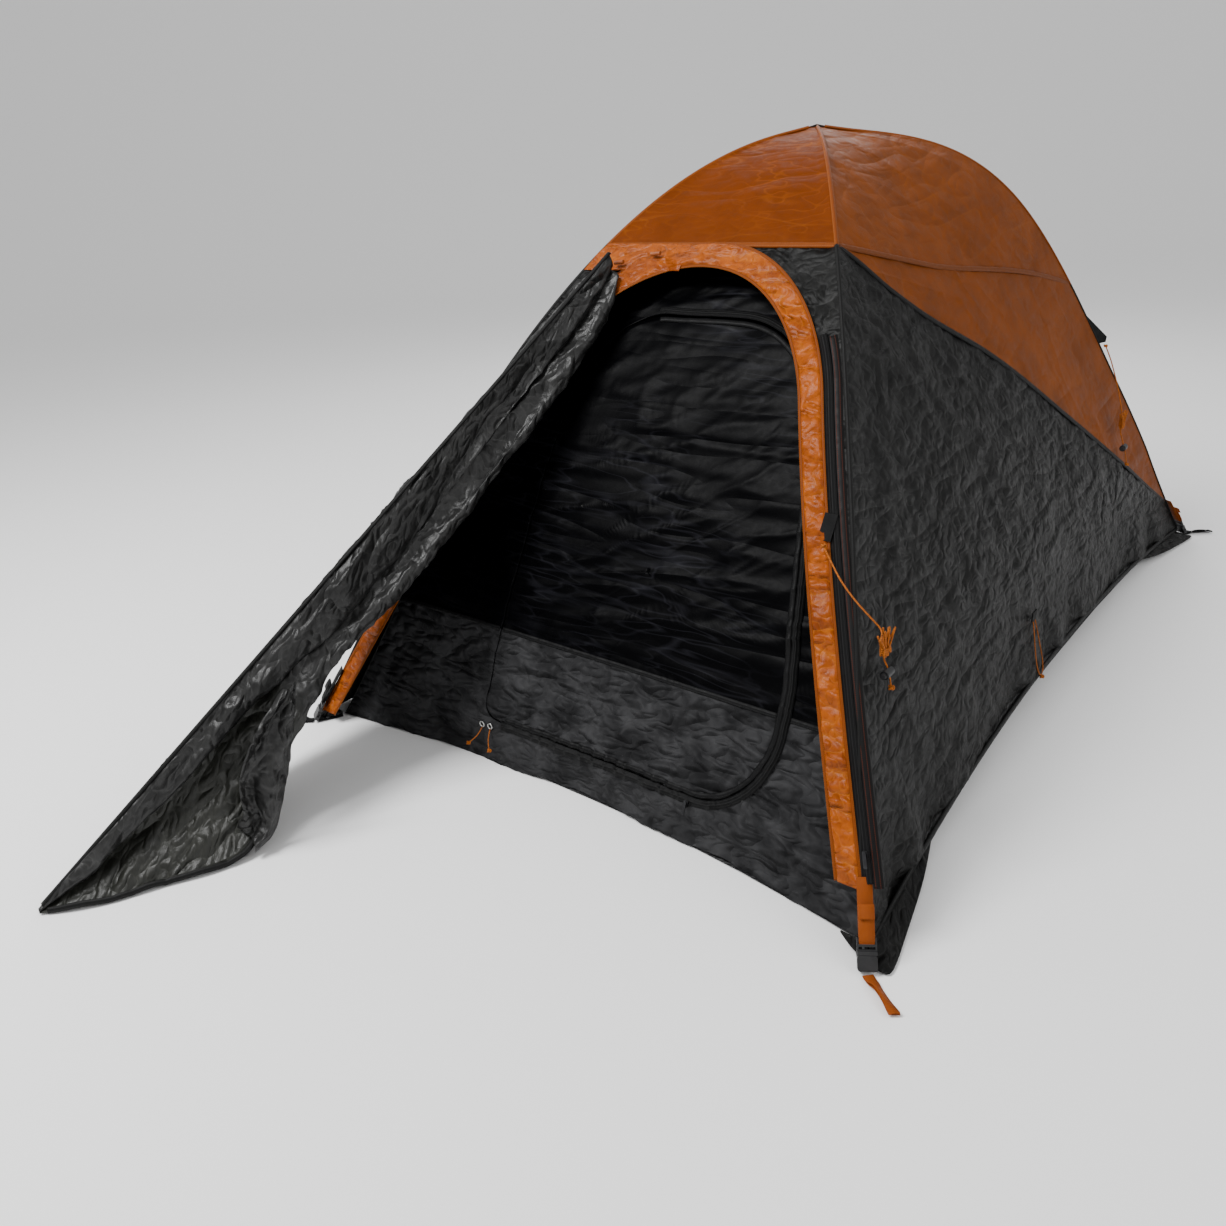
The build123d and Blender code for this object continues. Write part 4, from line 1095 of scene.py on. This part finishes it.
def roundedOutline(corners, radii, per=40):
    # straight sides with an arc of the given radius at each corner
    corners = np.asarray(corners, float)
    parts = []
    for i, (corner, radius) in enumerate(zip(corners, radii)):
        before = unit(corners[i - 1] - corner)
        after = unit(corners[(i + 1) % len(corners)] - corner)
        half = math.acos(float(np.clip(before @ after, -1, 1))) / 2
        centre = corner + unit(before + after) * radius / math.sin(half)
        start, end = corner + before * radius / math.tan(half), corner + after * radius / math.tan(half)
        a0 = math.atan2(*(start - centre)[::-1])
        turn = (math.atan2(*(end - centre)[::-1]) - a0 + math.pi) % (2 * math.pi) - math.pi
        a = a0 + turn * steps(0, 1, per)
        parts.append(centre + radius * np.stack([np.cos(a), np.sin(a)], -1))
    loop = np.concatenate(parts)
    loop = np.concatenate([loop, loop[:1]])
    d = alongPath(loop)
    at = steps(0, d[-1], 721)
    return np.stack([np.interp(at, d, loop[:, k]) for k in (0, 1)], -1)


innerHalf = dome["halfWidth"] * dome["innerShare"]
doorLoop = roundedOutline(inner["door"], inner["radii"])
middle = np.array(inner["middle"])


def doorRadius(theta, gap=0.0):
    # distance from the door's middle to its outline in a direction
    rel = doorLoop - middle
    a = np.unwrap(np.arctan2(rel[:, 1], rel[:, 0]))
    r = np.linalg.norm(rel, axis=1) - gap
    order = np.argsort(np.mod(a, 2 * math.pi))
    return np.interp(np.mod(theta, 2 * math.pi), np.mod(a, 2 * math.pi)[order], r[order], period=2 * math.pi)


def wallRadius(theta):
    # distance from the door's middle to the wall's edge: the poles' lines and the floor
    low, high = np.zeros_like(theta), np.full_like(theta, 1.6)
    for _ in range(40):
        mid = (low + high) / 2
        x = middle[0] + mid * np.cos(theta)
        z = middle[1] + mid * np.sin(theta)
        edge = innerHalf * anyReach(np.clip(z, 0.0, dome["innerCrown"]), dome["innerCrown"])
        inside = (z > 0.004) & (z < dome["innerCrown"]) & (np.abs(x) < edge)
        low, high = np.where(inside, mid, low), np.where(inside, high, mid)
    return (low + high) / 2


def innerWave(x, z):
    # long slack creases above, a finer crumple below the seam, a belly low down, and still near the poles
    low = smooth(inner["tubTop"] + 0.03, inner["tubTop"] - 0.03, z)
    high = 1 - low
    edge = np.abs(x) / (innerHalf * anyReach(np.clip(z, 0, 1.14), dome["innerCrown"]))
    fade = 1 - smooth(0.85, 1.0, edge)
    slack = 0.0045 * crease(x, z, 0.20, 0.05, 0.30, 41, 5) + 0.0022 * crease(x, z, 0.55, 0.03, 0.16, 43, 5)
    broad = 0.012 * cloud(x * 3.1 + 5, z * 4.3 + 2, 49) * (0.35 + 0.65 * low)
    tub = 0.0055 * crease(x, z, 1.15, 0.035, 0.10, 45, 2) + 0.0035 * crease(x, z, 2.1, 0.02, 0.05, 47, 2)
    return fade * (high * slack + low * tub + broad - 0.010)


def innerFrontPoint(x, z, off):
    # the last few centimetres above the ground tuck back under the door
    z = np.clip(z, 0.0022, dome["innerCrown"] - 0.002)
    reach = anyReach(z, dome["innerCrown"])
    p = facePoint("front", x, reach, inner=True)
    beside = np.clip(1 - (x / innerHalf) ** 2, 0, 1)
    tuck = inner["tuck"] * beside * smooth(0.085, 0.0, z) * (1 + 0.25 * np.sin(x * 17 + 1))
    p = p + tuck[..., None] * np.array([0, 1.0, 0])
    q = facePoint("front", x, anyReach(z + 1e-3, dome["innerCrown"]), inner=True)
    n = unit(np.cross(np.array([1.0, 0, 0]), q - p))
    return p + n * np.asarray(off)[..., None]


def innerCloth(name):
    # glossy black above the tub seam, with thin painted highlights along its creases, and matt grey below it,
    # both creased
    g = Graph(name)
    place = g.coords("Object")
    split = g.node("ShaderNodeSeparateXYZ")
    g.link(place, split.inputs[0])
    side = g.spread(split.outputs["Z"], inner["tubTop"] - 0.0005, inner["tubTop"] + 0.0005, 0.0, 1.0)
    uv = g.coords("UV")
    flat = g.coords("UV", 0.24, (1.1, 8.0, 1))
    tilt = g.coords("UV", 0.62, (2.0, 11.0, 1))
    steep = g.coords("UV", 1.15, (11.0, 26.0, 1))
    cross = g.coords("UV", 2.0, (24.0, 46.0, 1))
    highlightPatches = g.spread(g.noise(uv, 3.5, 2.0), 0.42, 0.6, 0.0, 1.0)
    long = g.ridges(flat, 2.6, 1.0, 0.25, 0.030)
    fine = g.ridges(tilt, 3.4, 1.0, 0.3, 0.035)
    highlightLines = g.math("MULTIPLY", g.math("ADD", long, fine), highlightPatches)
    grain = g.noise(uv, 80.0, 3.0, 0.6, 0.4)
    blotch = g.spread(g.noise(uv, 13.0, 3.0, 0.6, 0.6), 0.38, 0.62, 0.0, 1.0)
    # painted highlight: the black is mixed toward a pale bluish grey along the crease lines
    upper = g.mix(g.math("MULTIPLY", highlightLines, 0.30), (0.0004, 0.0004, 0.0007), (0.020, 0.020, 0.025))
    lower = g.mix(blotch, (0.0150, 0.0150, 0.0158), (0.0345, 0.0345, 0.0360))
    g.set("Base Color", g.mix(side, lower, upper))
    gloss = g.spread(grain, 0.3, 0.7, 0.0, 0.08)
    g.set("Roughness", g.math("ADD", gloss, g.spread(side, 0.0, 1.0, 0.45, 0.36)))
    g.set("Specular IOR Level", 0.035)
    both = g.node("ShaderNodeMix", data_type="FLOAT")
    g.link(side, both.inputs[0])
    creased = g.math("ADD", g.facets(steep, 1.0, 0.5), g.math("MULTIPLY", g.facets(cross, 1.0, 0.4), 0.5))
    g.link(g.math("MULTIPLY", creased, 1.7), both.inputs[2])
    g.link(g.math("MULTIPLY", g.facets(flat, 2.6, 0.25), 0.35), both.inputs[3])
    n = g.bump(both.outputs[0], 1.0, 0.030)
    g.set("Normal", g.bump(grain, 0.35, 0.0005, n))
    return g.material


mats["innerCloth"] = innerCloth("inner cloth")
theta = steps(0, 2 * math.pi, 361)


def ringPiece(name, node, start, end, rows, body, pinch):
    # rows of rays from the door's middle, joined round
    r = start[:, None] + (end - start)[:, None] * steps(0, 1, rows)[None, :]
    x = middle[0] + r * np.cos(theta)[:, None]
    z = middle[1] + r * np.sin(theta)[:, None]
    z = np.clip(z, 0.0022, 1.139)
    level = innerFrontPoint(x, z, 0 * x)
    points = innerFrontPoint(x, z, innerWave(x, z))
    run = -meridian(anyReach(z, dome["innerCrown"]), "front", True)
    piece = gridPiece(name, points, np.stack([x, run], -1), [mats["innerCloth"], mats["flyInside"]],
                      thick=0.0006, body=body, flip=not pinch)
    tidyMesh(piece.data)
    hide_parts(node)
    return piece


ringPiece("innerFrontWall", "inner_front_wall", doorRadius(theta), wallRadius(theta), 70, "tent", False)
ringPiece("innerDoor", "inner_door", doorRadius(theta, 0.003), np.full_like(theta, 0.0005), 60, "door_leaf",
          True)


def wallWave(share, along, run, height):
    # level slack creases 8 mm high, on cloth that sags as much
    return groinFade(share) * (0.008 * crease(along, run, 0.3, 0.07, 0.4, 51) - 0.008)


for side in ("right", "left", "back"):
    facePanel("inner" + side.title() + "Wall", f"inner_{side}_wall", side, flatLine(0.0025), None, (90, 110),
              skins["innerBlack"], wallWave, inner=True)


def makeFloor():
    # a rectangle with bowed sides, rippled a little
    u, v = np.meshgrid(steps(-1, 1, 90), steps(-1, 1, 130), indexing="ij")
    wide, long = innerHalf, dome["halfLength"] * dome["innerShare"]
    x = u * (wide - dome["sideBow"] * (1 - v ** 2))
    bowNear = (dome["endBow"] + 0.026) * (v < 0) + dome["endBow"] * (v >= 0)
    y = v * (long - bowNear * (1 - u ** 2))
    z = 0.0012 + 0.0022 * crease(x, y, 0.7, 0.10, 0.4, 61)
    points = np.stack([x, y, z], -1)
    piece = gridPiece("innerFloor", points, np.stack([x, y], -1), [mats["tubGrey"]], thick=0.0008)
    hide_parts("inner_floor")


makeFloor()


def innerStrip(name, xz, off, profile, material, body="tent"):
    # a strip that follows the creased front of the inner tent
    xz = np.asarray(xz, float)
    path = innerFrontPoint(xz[:, 0], xz[:, 1], off + innerWave(xz[:, 0], xz[:, 1]))
    n = unit(innerFrontPoint(xz[:, 0], xz[:, 1], off + 0.01 + innerWave(xz[:, 0], xz[:, 1])) - path)
    return sweptStrip(name, path, n, profile, material, body=body)


def doorRing(gap):
    # a loop a gap inside the door's outline, from the foot of the hinge side round to its top
    a = steps(hinge["foot"] - 2 * math.pi, hinge["top"], 600)
    r = doorRadius(a, gap)
    return np.stack([middle[0] + r * np.cos(a), middle[1] + r * np.sin(a)], -1)


def crossing(radius, height, side):
    # direction in which a loop round the door's middle crosses a height, on the right or on the left
    first = -math.pi / 2 if side == "right" else math.pi / 2
    a = steps(first, first + math.pi, 2001)
    z = middle[1] + radius(a) * np.sin(a)
    return float(a[np.argmin(np.abs(z - height))])


tape = [(-0.0080, -0.0008), (-0.0080, 0.0006), (-0.0012, 0.0008), (-0.0010, 0.0022), (0.0010, 0.0022),
        (0.0012, 0.0008), (0.0080, 0.0006), (0.0080, -0.0008)]
hinge = {"top": math.radians(112), "foot": math.radians(232)}
innerStrip("doorZipTape", doorRing(-0.006), 0.0016, tape, mats["zipTape"])
innerStrip("doorZipEdge", doorRing(0.009), 0.0012,
           [(-0.0055, -0.0006), (-0.0055, 0.0008), (0.0055, 0.0008), (0.0055, -0.0006)], mats["seamBlack"],
           body="door_leaf")
thin = [(-0.0050, -0.0006), (-0.0050, 0.0010), (0.0050, 0.0010), (0.0050, -0.0006)]
tubRight = crossing(lambda a: doorRadius(a, -0.016), inner["tubTop"], "right")
tubLeft = crossing(lambda a: doorRadius(a, -0.004), inner["tubTop"], "left")
edgeX = innerHalf * float(anyReach(inner["tubTop"], dome["innerCrown"])) - 0.004
rightX = middle[0] + float(doorRadius(np.array(tubRight), -0.016)) * math.cos(tubRight)
leftX = middle[0] + float(doorRadius(np.array(tubLeft), -0.004)) * math.cos(tubLeft)
for name, low, high, body in (("tubSeamRight", rightX, edgeX, "tent"), ("tubSeamLeft", -edgeX, leftX, "tent"),
                              ("tubSeamDoor", leftX + 0.010, rightX - 0.028, "door_leaf")):
    xs = steps(low, high, 160)
    innerStrip(name, np.stack([xs, 0 * xs + inner["tubTop"]], -1), 0.0006, thin, mats["seamBlack"], body=body)
print("inner tent done")

# Porch flap
flap = {
    "head": np.array([-0.215, -0.500, 0.990]),
    "tip": np.array([-0.568, -1.812, 0.009]),
    "foot": np.array([-0.618, -1.045, 0.225]),
    "thick": 0.0008,
}
ridgeRun = flap["tip"] - flap["head"]
ridgeFlat = unit(ridgeRun * [1, 1, 0])
towardDoor = np.array([-ridgeFlat[1], ridgeFlat[0], 0.0])
# stations along the ridge: share, then how far the roll, the groove and the edge stand, each toward the door
# and below the ridge
flapRows = np.array([
    [0.000, 0.010, 0.026, 0.002, 0.032, 0.024, 0.052],
    [0.030, 0.012, 0.040, 0.001, 0.050, 0.030, 0.098],
    [0.100, 0.010, 0.058, -0.004, 0.072, 0.034, 0.128],
    [0.200, 0.006, 0.074, -0.010, 0.090, 0.036, 0.138],
    [0.300, 0.006, 0.080, -0.008, 0.098, 0.036, 0.152],
    [0.400, 0.008, 0.084, -0.008, 0.102, 0.040, 0.158],
    [0.500, 0.010, 0.088, -0.006, 0.106, 0.034, 0.148],
    [0.560, 0.012, 0.084, -0.006, 0.100, 0.030, 0.138],
    [0.620, 0.016, 0.066, -0.006, 0.082, 0.040, 0.165],
    [0.680, 0.016, 0.054, -0.012, 0.070, 0.070, 0.236],
    [0.740, 0.012, 0.052, -0.018, 0.066, 0.108, 0.256],
    [0.790, 0.010, 0.052, -0.020, 0.066, 0.104, 0.212],
    [0.860, 0.008, 0.044, -0.014, 0.056, 0.077, 0.142],
    [0.920, 0.008, 0.030, -0.006, 0.038, 0.063, 0.084],
    [0.970, 0.006, 0.014, 0.000, 0.018, 0.034, 0.033],
    [1.000, 0.003, 0.004, 0.001, 0.005, 0.008, 0.006],
])


def ridgePoint(share):
    # head + share * (tip - head)
    return flap["head"] + np.asarray(share)[..., None] * ridgeRun


def flapAt(share, out, down):
    # a place in the upright plane that crosses the ridge at a share of it
    level = ridgePoint(share) + np.asarray(out)[..., None] * towardDoor
    return level - np.asarray(down)[..., None] * np.array([0, 0, 1.0])


def facing(points, toward, rows=slice(None), columns=slice(None)):
    # a grid's normals, turned to one side, and whether they had to be turned
    normals = gridNormals(points)
    flip = bool((normals[rows, columns] @ np.asarray(toward)).mean() < 0)
    return (-normals if flip else normals), flip


def girthOf(points):
    # distance along each row of a grid
    run = np.cumsum(np.linalg.norm(np.diff(points, axis=1), axis=-1), 1)
    return np.concatenate([0 * run[:, :1], run], 1)


def flapCloth(name, points, along, girth, flip):
    # one sheet of the flap's cloth
    piece = gridPiece(name, points, np.stack([along, girth], -1), flapSkin, thick=flap["thick"],
                      body="porch_flap", flip=flip)
    return piece


def rowValue(share, column):
    # smooth run through a column of the stations
    fine = np.interp(steps(0, 1, 401), flapRows[:, 0], flapRows[:, column])
    window = np.hanning(31)
    padded = np.concatenate([2 * fine[0] - fine[15:0:-1], fine, 2 * fine[-1] - fine[-2:-17:-1]])
    return np.interp(share, steps(0, 1, 401), np.convolve(padded, window / window.sum(), "valid"))


def flapProfile(share):
    # control points across the cloth: ridge, face, roll, groove, bundle or lining, edge, turned-in hem
    rollOut, rollDown, inOut, inDown, edgeOut, edgeDown = (rowValue(share, k) for k in range(1, 7))
    low = smooth(0.60, 0.72, share)
    out = [0 * share, 0.55 * rollOut + 0.004, rollOut + 0.004, rollOut + 0.003, inOut,
           inOut * 0.6 + 0.4 * edgeOut * (1 - low) - 0.004 * low,
           (edgeOut + 0.010) * (1 - low) + (0.45 * edgeOut) * low, edgeOut + 0.003 * (1 - low),
           edgeOut - 0.030 * (1 - low) - 0.006 * low, edgeOut - 0.042 * (1 - low) - 0.012 * low]
    span = edgeDown - inDown
    down = [0 * share, 0.45 * rollDown, 0.86 * rollDown, rollDown * 1.03, inDown, inDown + 0.14 * span,
            inDown + 0.55 * span, edgeDown, edgeDown - 0.010 * (1 - low) - 0.001 * low,
            edgeDown - 0.06 * span * low - 0.03 * (1 - low)]
    return np.stack(out, -1), np.stack(down, -1)


def softened(row):
    # a row averaged over a raised cosine, its ends held
    window = np.hanning(19)
    padded = np.concatenate([2 * row[0] - row[9:0:-1], row, 2 * row[-1] - row[-2:-11:-1]])
    return np.convolve(padded, window / window.sum(), "valid")


def makeFlap():
    # the gathered half: its profile swept down the ridge, with long folds, crumple, and pleats in the bundle
    share = steps(0, 1, 420)
    out, down = flapProfile(share)
    across = 150
    knots = steps(0, 1, out.shape[1])
    fine = steps(0, 1, across)
    blendIn = np.maximum(0, 1 - np.abs(fine[:, None] - knots[None, :]) * (out.shape[1] - 1))
    blendIn = blendIn / blendIn.sum(1, keepdims=True)
    out, down = (np.apply_along_axis(softened, 1, a @ blendIn.T) for a in (out, down))
    s = share[:, None] + 0 * out
    points = flapAt(s, out, down)
    normals, flip = facing(points, (0.3, -0.4, 0.2), slice(0, 200), slice(10, 60))
    along = s * np.linalg.norm(ridgeRun)
    girth = girthOf(points)
    v = fine[None, :] + 0 * s
    onFace = smooth(0.0, 0.06, v) * smooth(0.0, 0.02, s) * (1 - smooth(0.93, 1.0, s))
    folds = 0.012 * crease(along, girth, 0.08, 0.055, 0.70, 71, 1.5)
    folds = folds + 0.005 * crease(along, girth, -0.40, 0.050, 0.22, 73, 2)
    crumple = 0.0022 * crease(along, girth, 1.0, 0.035, 0.09, 75, 2)
    crumple = crumple + 0.0012 * crease(along, girth, 2.2, 0.022, 0.06, 77, 2)
    bundle = smooth(0.42, 0.5, v) * (1 - smooth(0.60, 0.72, s))
    lining = smooth(0.44, 0.5, v) * smooth(0.62, 0.75, s)
    pleats = 0.005 * np.sin(girth * 85 + 7 * cloud(along * 3, girth * 2, 79)) * bundle
    sway = 0.010 * (cloud(along * 3.3 + 4, 0 * along, 78) - 0.5) * (1 - lining)
    crumple = crumple * (0.7 + 1.1 * bundle) * (1 - 0.4 * lining)
    move = onFace * (folds * (1 - 0.6 * lining) + crumple + pleats + sway - 0.008)
    points = points + normals * move[..., None]
    points[..., 2] = np.maximum(points[..., 2], 0.003)
    piece = flapCloth("flapGathered", points, along, girth, flip)
    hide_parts("vestibule_door_panel")
    colour = piece.data.color_attributes.new("lining", "FLOAT_COLOR", "POINT")
    # 0 on the outer cloth, 1 on the lining below the main fold
    shade = (smooth(0.40, 0.44, v) * smooth(0.60, 0.66, s)).reshape(-1)
    shade = np.stack([shade, shade, shade, 1 + 0 * shade], -1)
    colour.data.foreach_set("color", shade.astype(np.float32).ravel())
    return points


flapPoints = makeFlap()


def makeSidePanel():
    # from the ridge back to the left arch leg, and below the foot down to the ground beside the ridge
    share = steps(0.01, 0.995, 220)
    t = steps(0, 1, 70)
    head, tip, foot = flap["head"], flap["tip"], flap["foot"]
    upper = head + (foot - head) * (share / 0.5)[:, None]
    lower = foot + (tip - foot) * ((share - 0.5) / 0.5)[:, None]
    back = np.where((share <= 0.5)[:, None], upper, lower)
    sag = 0.070 * np.sin(math.pi * np.clip((share - 0.5) / 0.5, 0, 1))
    back = back - towardDoor * 0.006 - sag[:, None] * np.array([0, 0, 1.0])
    back[:, 2] = np.maximum(back[:, 2], 0.004)
    top = ridgePoint(share) - towardDoor * 0.001
    s, v = np.meshgrid(share, t, indexing="ij")
    points = top[:, None] * (1 - v[..., None]) + back[:, None] * v[..., None]
    belly = -0.045 * np.sin(math.pi * np.minimum(1, s * 1.05)) * np.sin(math.pi * v) ** 0.8
    points = points + belly[..., None] * towardDoor
    normals, flip = facing(points, -towardDoor)
    along = s * np.linalg.norm(ridgeRun)
    girth = girthOf(points)
    fade = smooth(0, 0.08, v) * smooth(0, 0.05, s)
    fold = 0.008 * crease(along, girth, 0.5, 0.05, 0.3, 81)
    fold = fold + 0.005 * crease(along, girth, 1.2, 0.03, 0.12, 83)
    points = points + normals * (fade * (fold - 0.005))[..., None]
    points[..., 2] = np.maximum(points[..., 2], 0.003)
    piece = flapCloth("flapSide", points, along, girth, flip)
    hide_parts("vestibule_side_panel")
    return points


sidePoints = makeSidePanel()


def makeFlapTail():
    # the loose end of the door half, which hangs from the neck of the gather in upright folds
    left = rounded([(0.640, 0.060, 0.060), (0.700, 0.076, 0.060), (0.728, 0.070, 0.110),
                    (0.731, 0.070, 0.168), (0.722, 0.074, 0.226)], 90)
    right = rounded([(0.622, 0.062, 0.085), (0.650, 0.076, 0.190), (0.680, 0.084, 0.250),
                     (0.700, 0.092, 0.282), (0.735, 0.100, 0.262)], 90)
    t = steps(0, 1, 90)
    s, v = np.meshgrid(t, steps(0, 1, 60), indexing="ij")
    flat = left[:, None] * (1 - v[..., None]) + right[:, None] * v[..., None]
    points = flapAt(flat[..., 0], flat[..., 1], flat[..., 2])
    normals, flip = facing(points, (0.5, -0.7, 0.3))
    wave = 0.010 * np.sin(v * 9 + 2.2 * np.sin(s * 3)) * smooth(0, 0.15, s) + 0.010 * np.sin(v * math.pi)
    run = s * 0.28
    wide = v * 0.09
    wave = wave + 0.009 * crease(run, wide, 1.2, 0.024, 0.045, 91, 1.5)
    wave = wave + 0.007 * crease(run, wide, 0.3, 0.02, 0.05, 93, 1.5)
    points = points + normals * wave[..., None]
    points[..., 2] = np.maximum(points[..., 2], 0.004)
    flapCloth("flapTail", points, run, wide, flip)


makeFlapTail()
hemPath = resample(flapPoints[290:416, 126], 160)
sweptStrip("flapHem", hemPath + np.array([0.0, 0.0, 0.0015]), unit(np.array([0.5, -0.75, 0.45])), bound,
           mats["seamGrey"], body="porch_flap")
ridgeRows = ridgePoint(steps(0.0, 0.995, 160)) + np.array([0, 0, 0.0015])
sweptStrip("flapRidge", ridgeRows, np.array([-0.2, -0.55, 0.8]), felled, mats["seamGrey"], body="porch_flap")
sideHem = resample(sidePoints[112:219, -1], 160)
sweptStrip("flapSideHem", sideHem, -towardDoor + np.array([0, 0, 0.2]), bound, mats["seamGrey"],
           body="porch_flap")
print("flap done")

# Corners
corners = {"fr": (1, -1), "fl": (-1, -1), "rr": (1, 1), "rl": (-1, 1)}
diagonal = math.hypot(dome["halfWidth"], dome["halfLength"])
slope = math.atan2(float(heightAt(np.float64(0.93), dome["flyCrown"])), diagonal * 0.07)


def strapFrame(sign):
    # origin, direction up the strap, direction off the cloth and direction away from the tent
    outward = unit(np.array([sign[0] * dome["halfWidth"], sign[1] * dome["halfLength"], 0.0]))
    up = outward * -math.cos(slope) + np.array([0, 0, math.sin(slope)])
    off = outward * math.sin(slope) + np.array([0, 0, math.cos(slope)])
    return np.array([sign[0] * dome["halfWidth"], sign[1] * dome["halfLength"], 0.0]), up, off, outward


webProfile = [(-0.0125, -0.0006), (-0.0120, 0.0008), (0.0120, 0.0008), (0.0125, -0.0006), (0.0, -0.0008)]
loopProfile = [(x * 0.72, y) for x, y in webProfile]


def makeStrap(key, sign, web):
    # the strap down the corner, its folded end, and the loop that takes the stake
    base, up, off, outward = strapFrame(sign)
    beside = np.array([-outward[1], outward[0], 0.0]) * sign[0] * -sign[1]

    def onCloth(*places):
        return rounded([base + up * rise + off * away for rise, away in places], 70)

    def nearGround(*places):
        return rounded([base + outward * reach + beside * shift + np.array([0, 0, rise])
                        for reach, shift, rise in places], 150)

    leg = onCloth((0.142, 0.0030), (0.120, 0.0050), (0.085, 0.0062), (0.060, 0.0080), (0.046, 0.0095),
                  (0.040, 0.0110))
    strap = sweptStrip("cornerStrap" + key.upper(), leg, off, webProfile, web, body=None)
    if key == "fr":
        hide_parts("corner_straps")
    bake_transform(strap)
    tail = onCloth((0.041, 0.0100), (0.050, 0.0150), (0.070, 0.0150), (0.092, 0.0125), (0.104, 0.0140),
                   (0.098, 0.0185), (0.080, 0.0190))
    sweptStrip("strapTail" + key.upper(), tail, off, webProfile, web, body="tongue_" + key)
    path = nearGround((0.0130, 0, 0.0020), (0.018, 0.001, 0.0020), (0.024, 0.003, 0.0028),
                      (0.033, 0.008, 0.0062), (0.048, 0.014, 0.0065), (0.070, 0.022, 0.0060),
                      (0.086, 0.027, 0.0058), (0.0915, 0.029, 0.0040), (0.086, 0.027, 0.0024),
                      (0.068, 0.021, 0.0018), (0.046, 0.013, 0.0014), (0.024, 0.004, 0.0012),
                      (0.0130, 0, 0.0006))
    turn = steps(0, 1, len(path))
    tangent = unit(np.gradient(path, axis=0))
    flat = unit(np.cross(tangent, beside))
    # a half twist out and back, flat where the loop leaves the buckle
    lean = 0.9 * np.sin(turn * 2 * math.pi) * smooth(0.05, 0.20, turn) * (1 - smooth(0.80, 0.95, turn))
    loopWeb = web if key == "fr" else mats["webBlack"]
    loop = sweptStrip("stakeLoop" + key.upper(), path, unit(flat + beside * lean[:, None]), loopProfile,
                      loopWeb, body="stake_" + key)
    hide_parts("stake_loop_" + key)


gusset = {
    "hem": [(0.640, 0.700, 0.045), (0.655, 0.900, 0.030), (0.680, 1.060, 0.026), (0.672, 1.072, 0.026),
            (0.640, 1.071, 0.028)],
    "ground": [(0.646, 0.700, 0.036), (0.692, 0.850, 0.013), (0.719, 0.990, 0.0045), (0.738, 1.085, 0.003),
               (0.728, 1.098, 0.003), (0.694, 1.088, 0.004), (0.664, 1.081, 0.010), (0.640, 1.073, 0.025)],
}


def makeGusset(key, sign):
    # cloth drawn from the fly's hem to the stake: a ruled strip between the hem and a line on the ground
    inner, outer = rounded(gusset["hem"], 90), rounded(gusset["ground"], 90)
    v = steps(0, 1, 24)[None, :, None]
    points = (inner[:, None] * (1 - v) + outer[:, None] * v) * np.array([sign[0], sign[1], 1.0])
    along = alongPath(outer)[:, None] + 0 * v[..., 0]
    down = v[..., 0] * np.linalg.norm(outer - inner, axis=1)[:, None]
    pleat = 0.0022 * crease(along, down, 1.5, 0.016, 0.08, 95, 1.5) * np.sin(math.pi * v[..., 0])
    points[..., 2] = points[..., 2] + pleat
    normals = gridNormals(points)
    flip = normals[..., 2].mean() < 0
    piece = gridPiece("flyCorner" + key.upper(), points, np.stack([along, down], -1), skins["flyGrey"],
                      thick=0.0008, flip=bool(flip))


for key, sign in corners.items():
    makeStrap(key, sign, mats["webBlack" if key == "fl" else "webOrange"])
    makeGusset(key, sign)
print("corners done")

# Carried-over CAD pieces
dressing = {
    "pole": ["pole_a_front", "pole_a_rear", "pole_b_front", "pole_b_rear"],
    "steel": ["pole_sleeves"],
    "slider": ["pole_tips", "vestibule_zip_slider", "door_zip_slider"],
    "buckle": ["pole_clips", "buckle_sockets", "cord_locks", "front_lock_button", "rear_lock_button"]
              + ["buckle_tongue_" + key for key in corners],
    "ring": ["tie_rings"],
    "toggle": ["flap_toggles"],
    "webCad": ["corner_tabs", "guy_tabs"],
}
mats["webCad"] = webbingMaterial("black webbing of the tabs", (0.010, 0.010, 0.0105), (0.004, 0.004, 0.004),
                                 kind="Object")
for key, names in dressing.items():
    for name in names:
        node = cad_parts[name]
        if not node.material_slots:
            node.data.materials.append(None)
        for place in node.material_slots:
            place.link = "OBJECT"
            place.material = mats[key]

low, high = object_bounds()
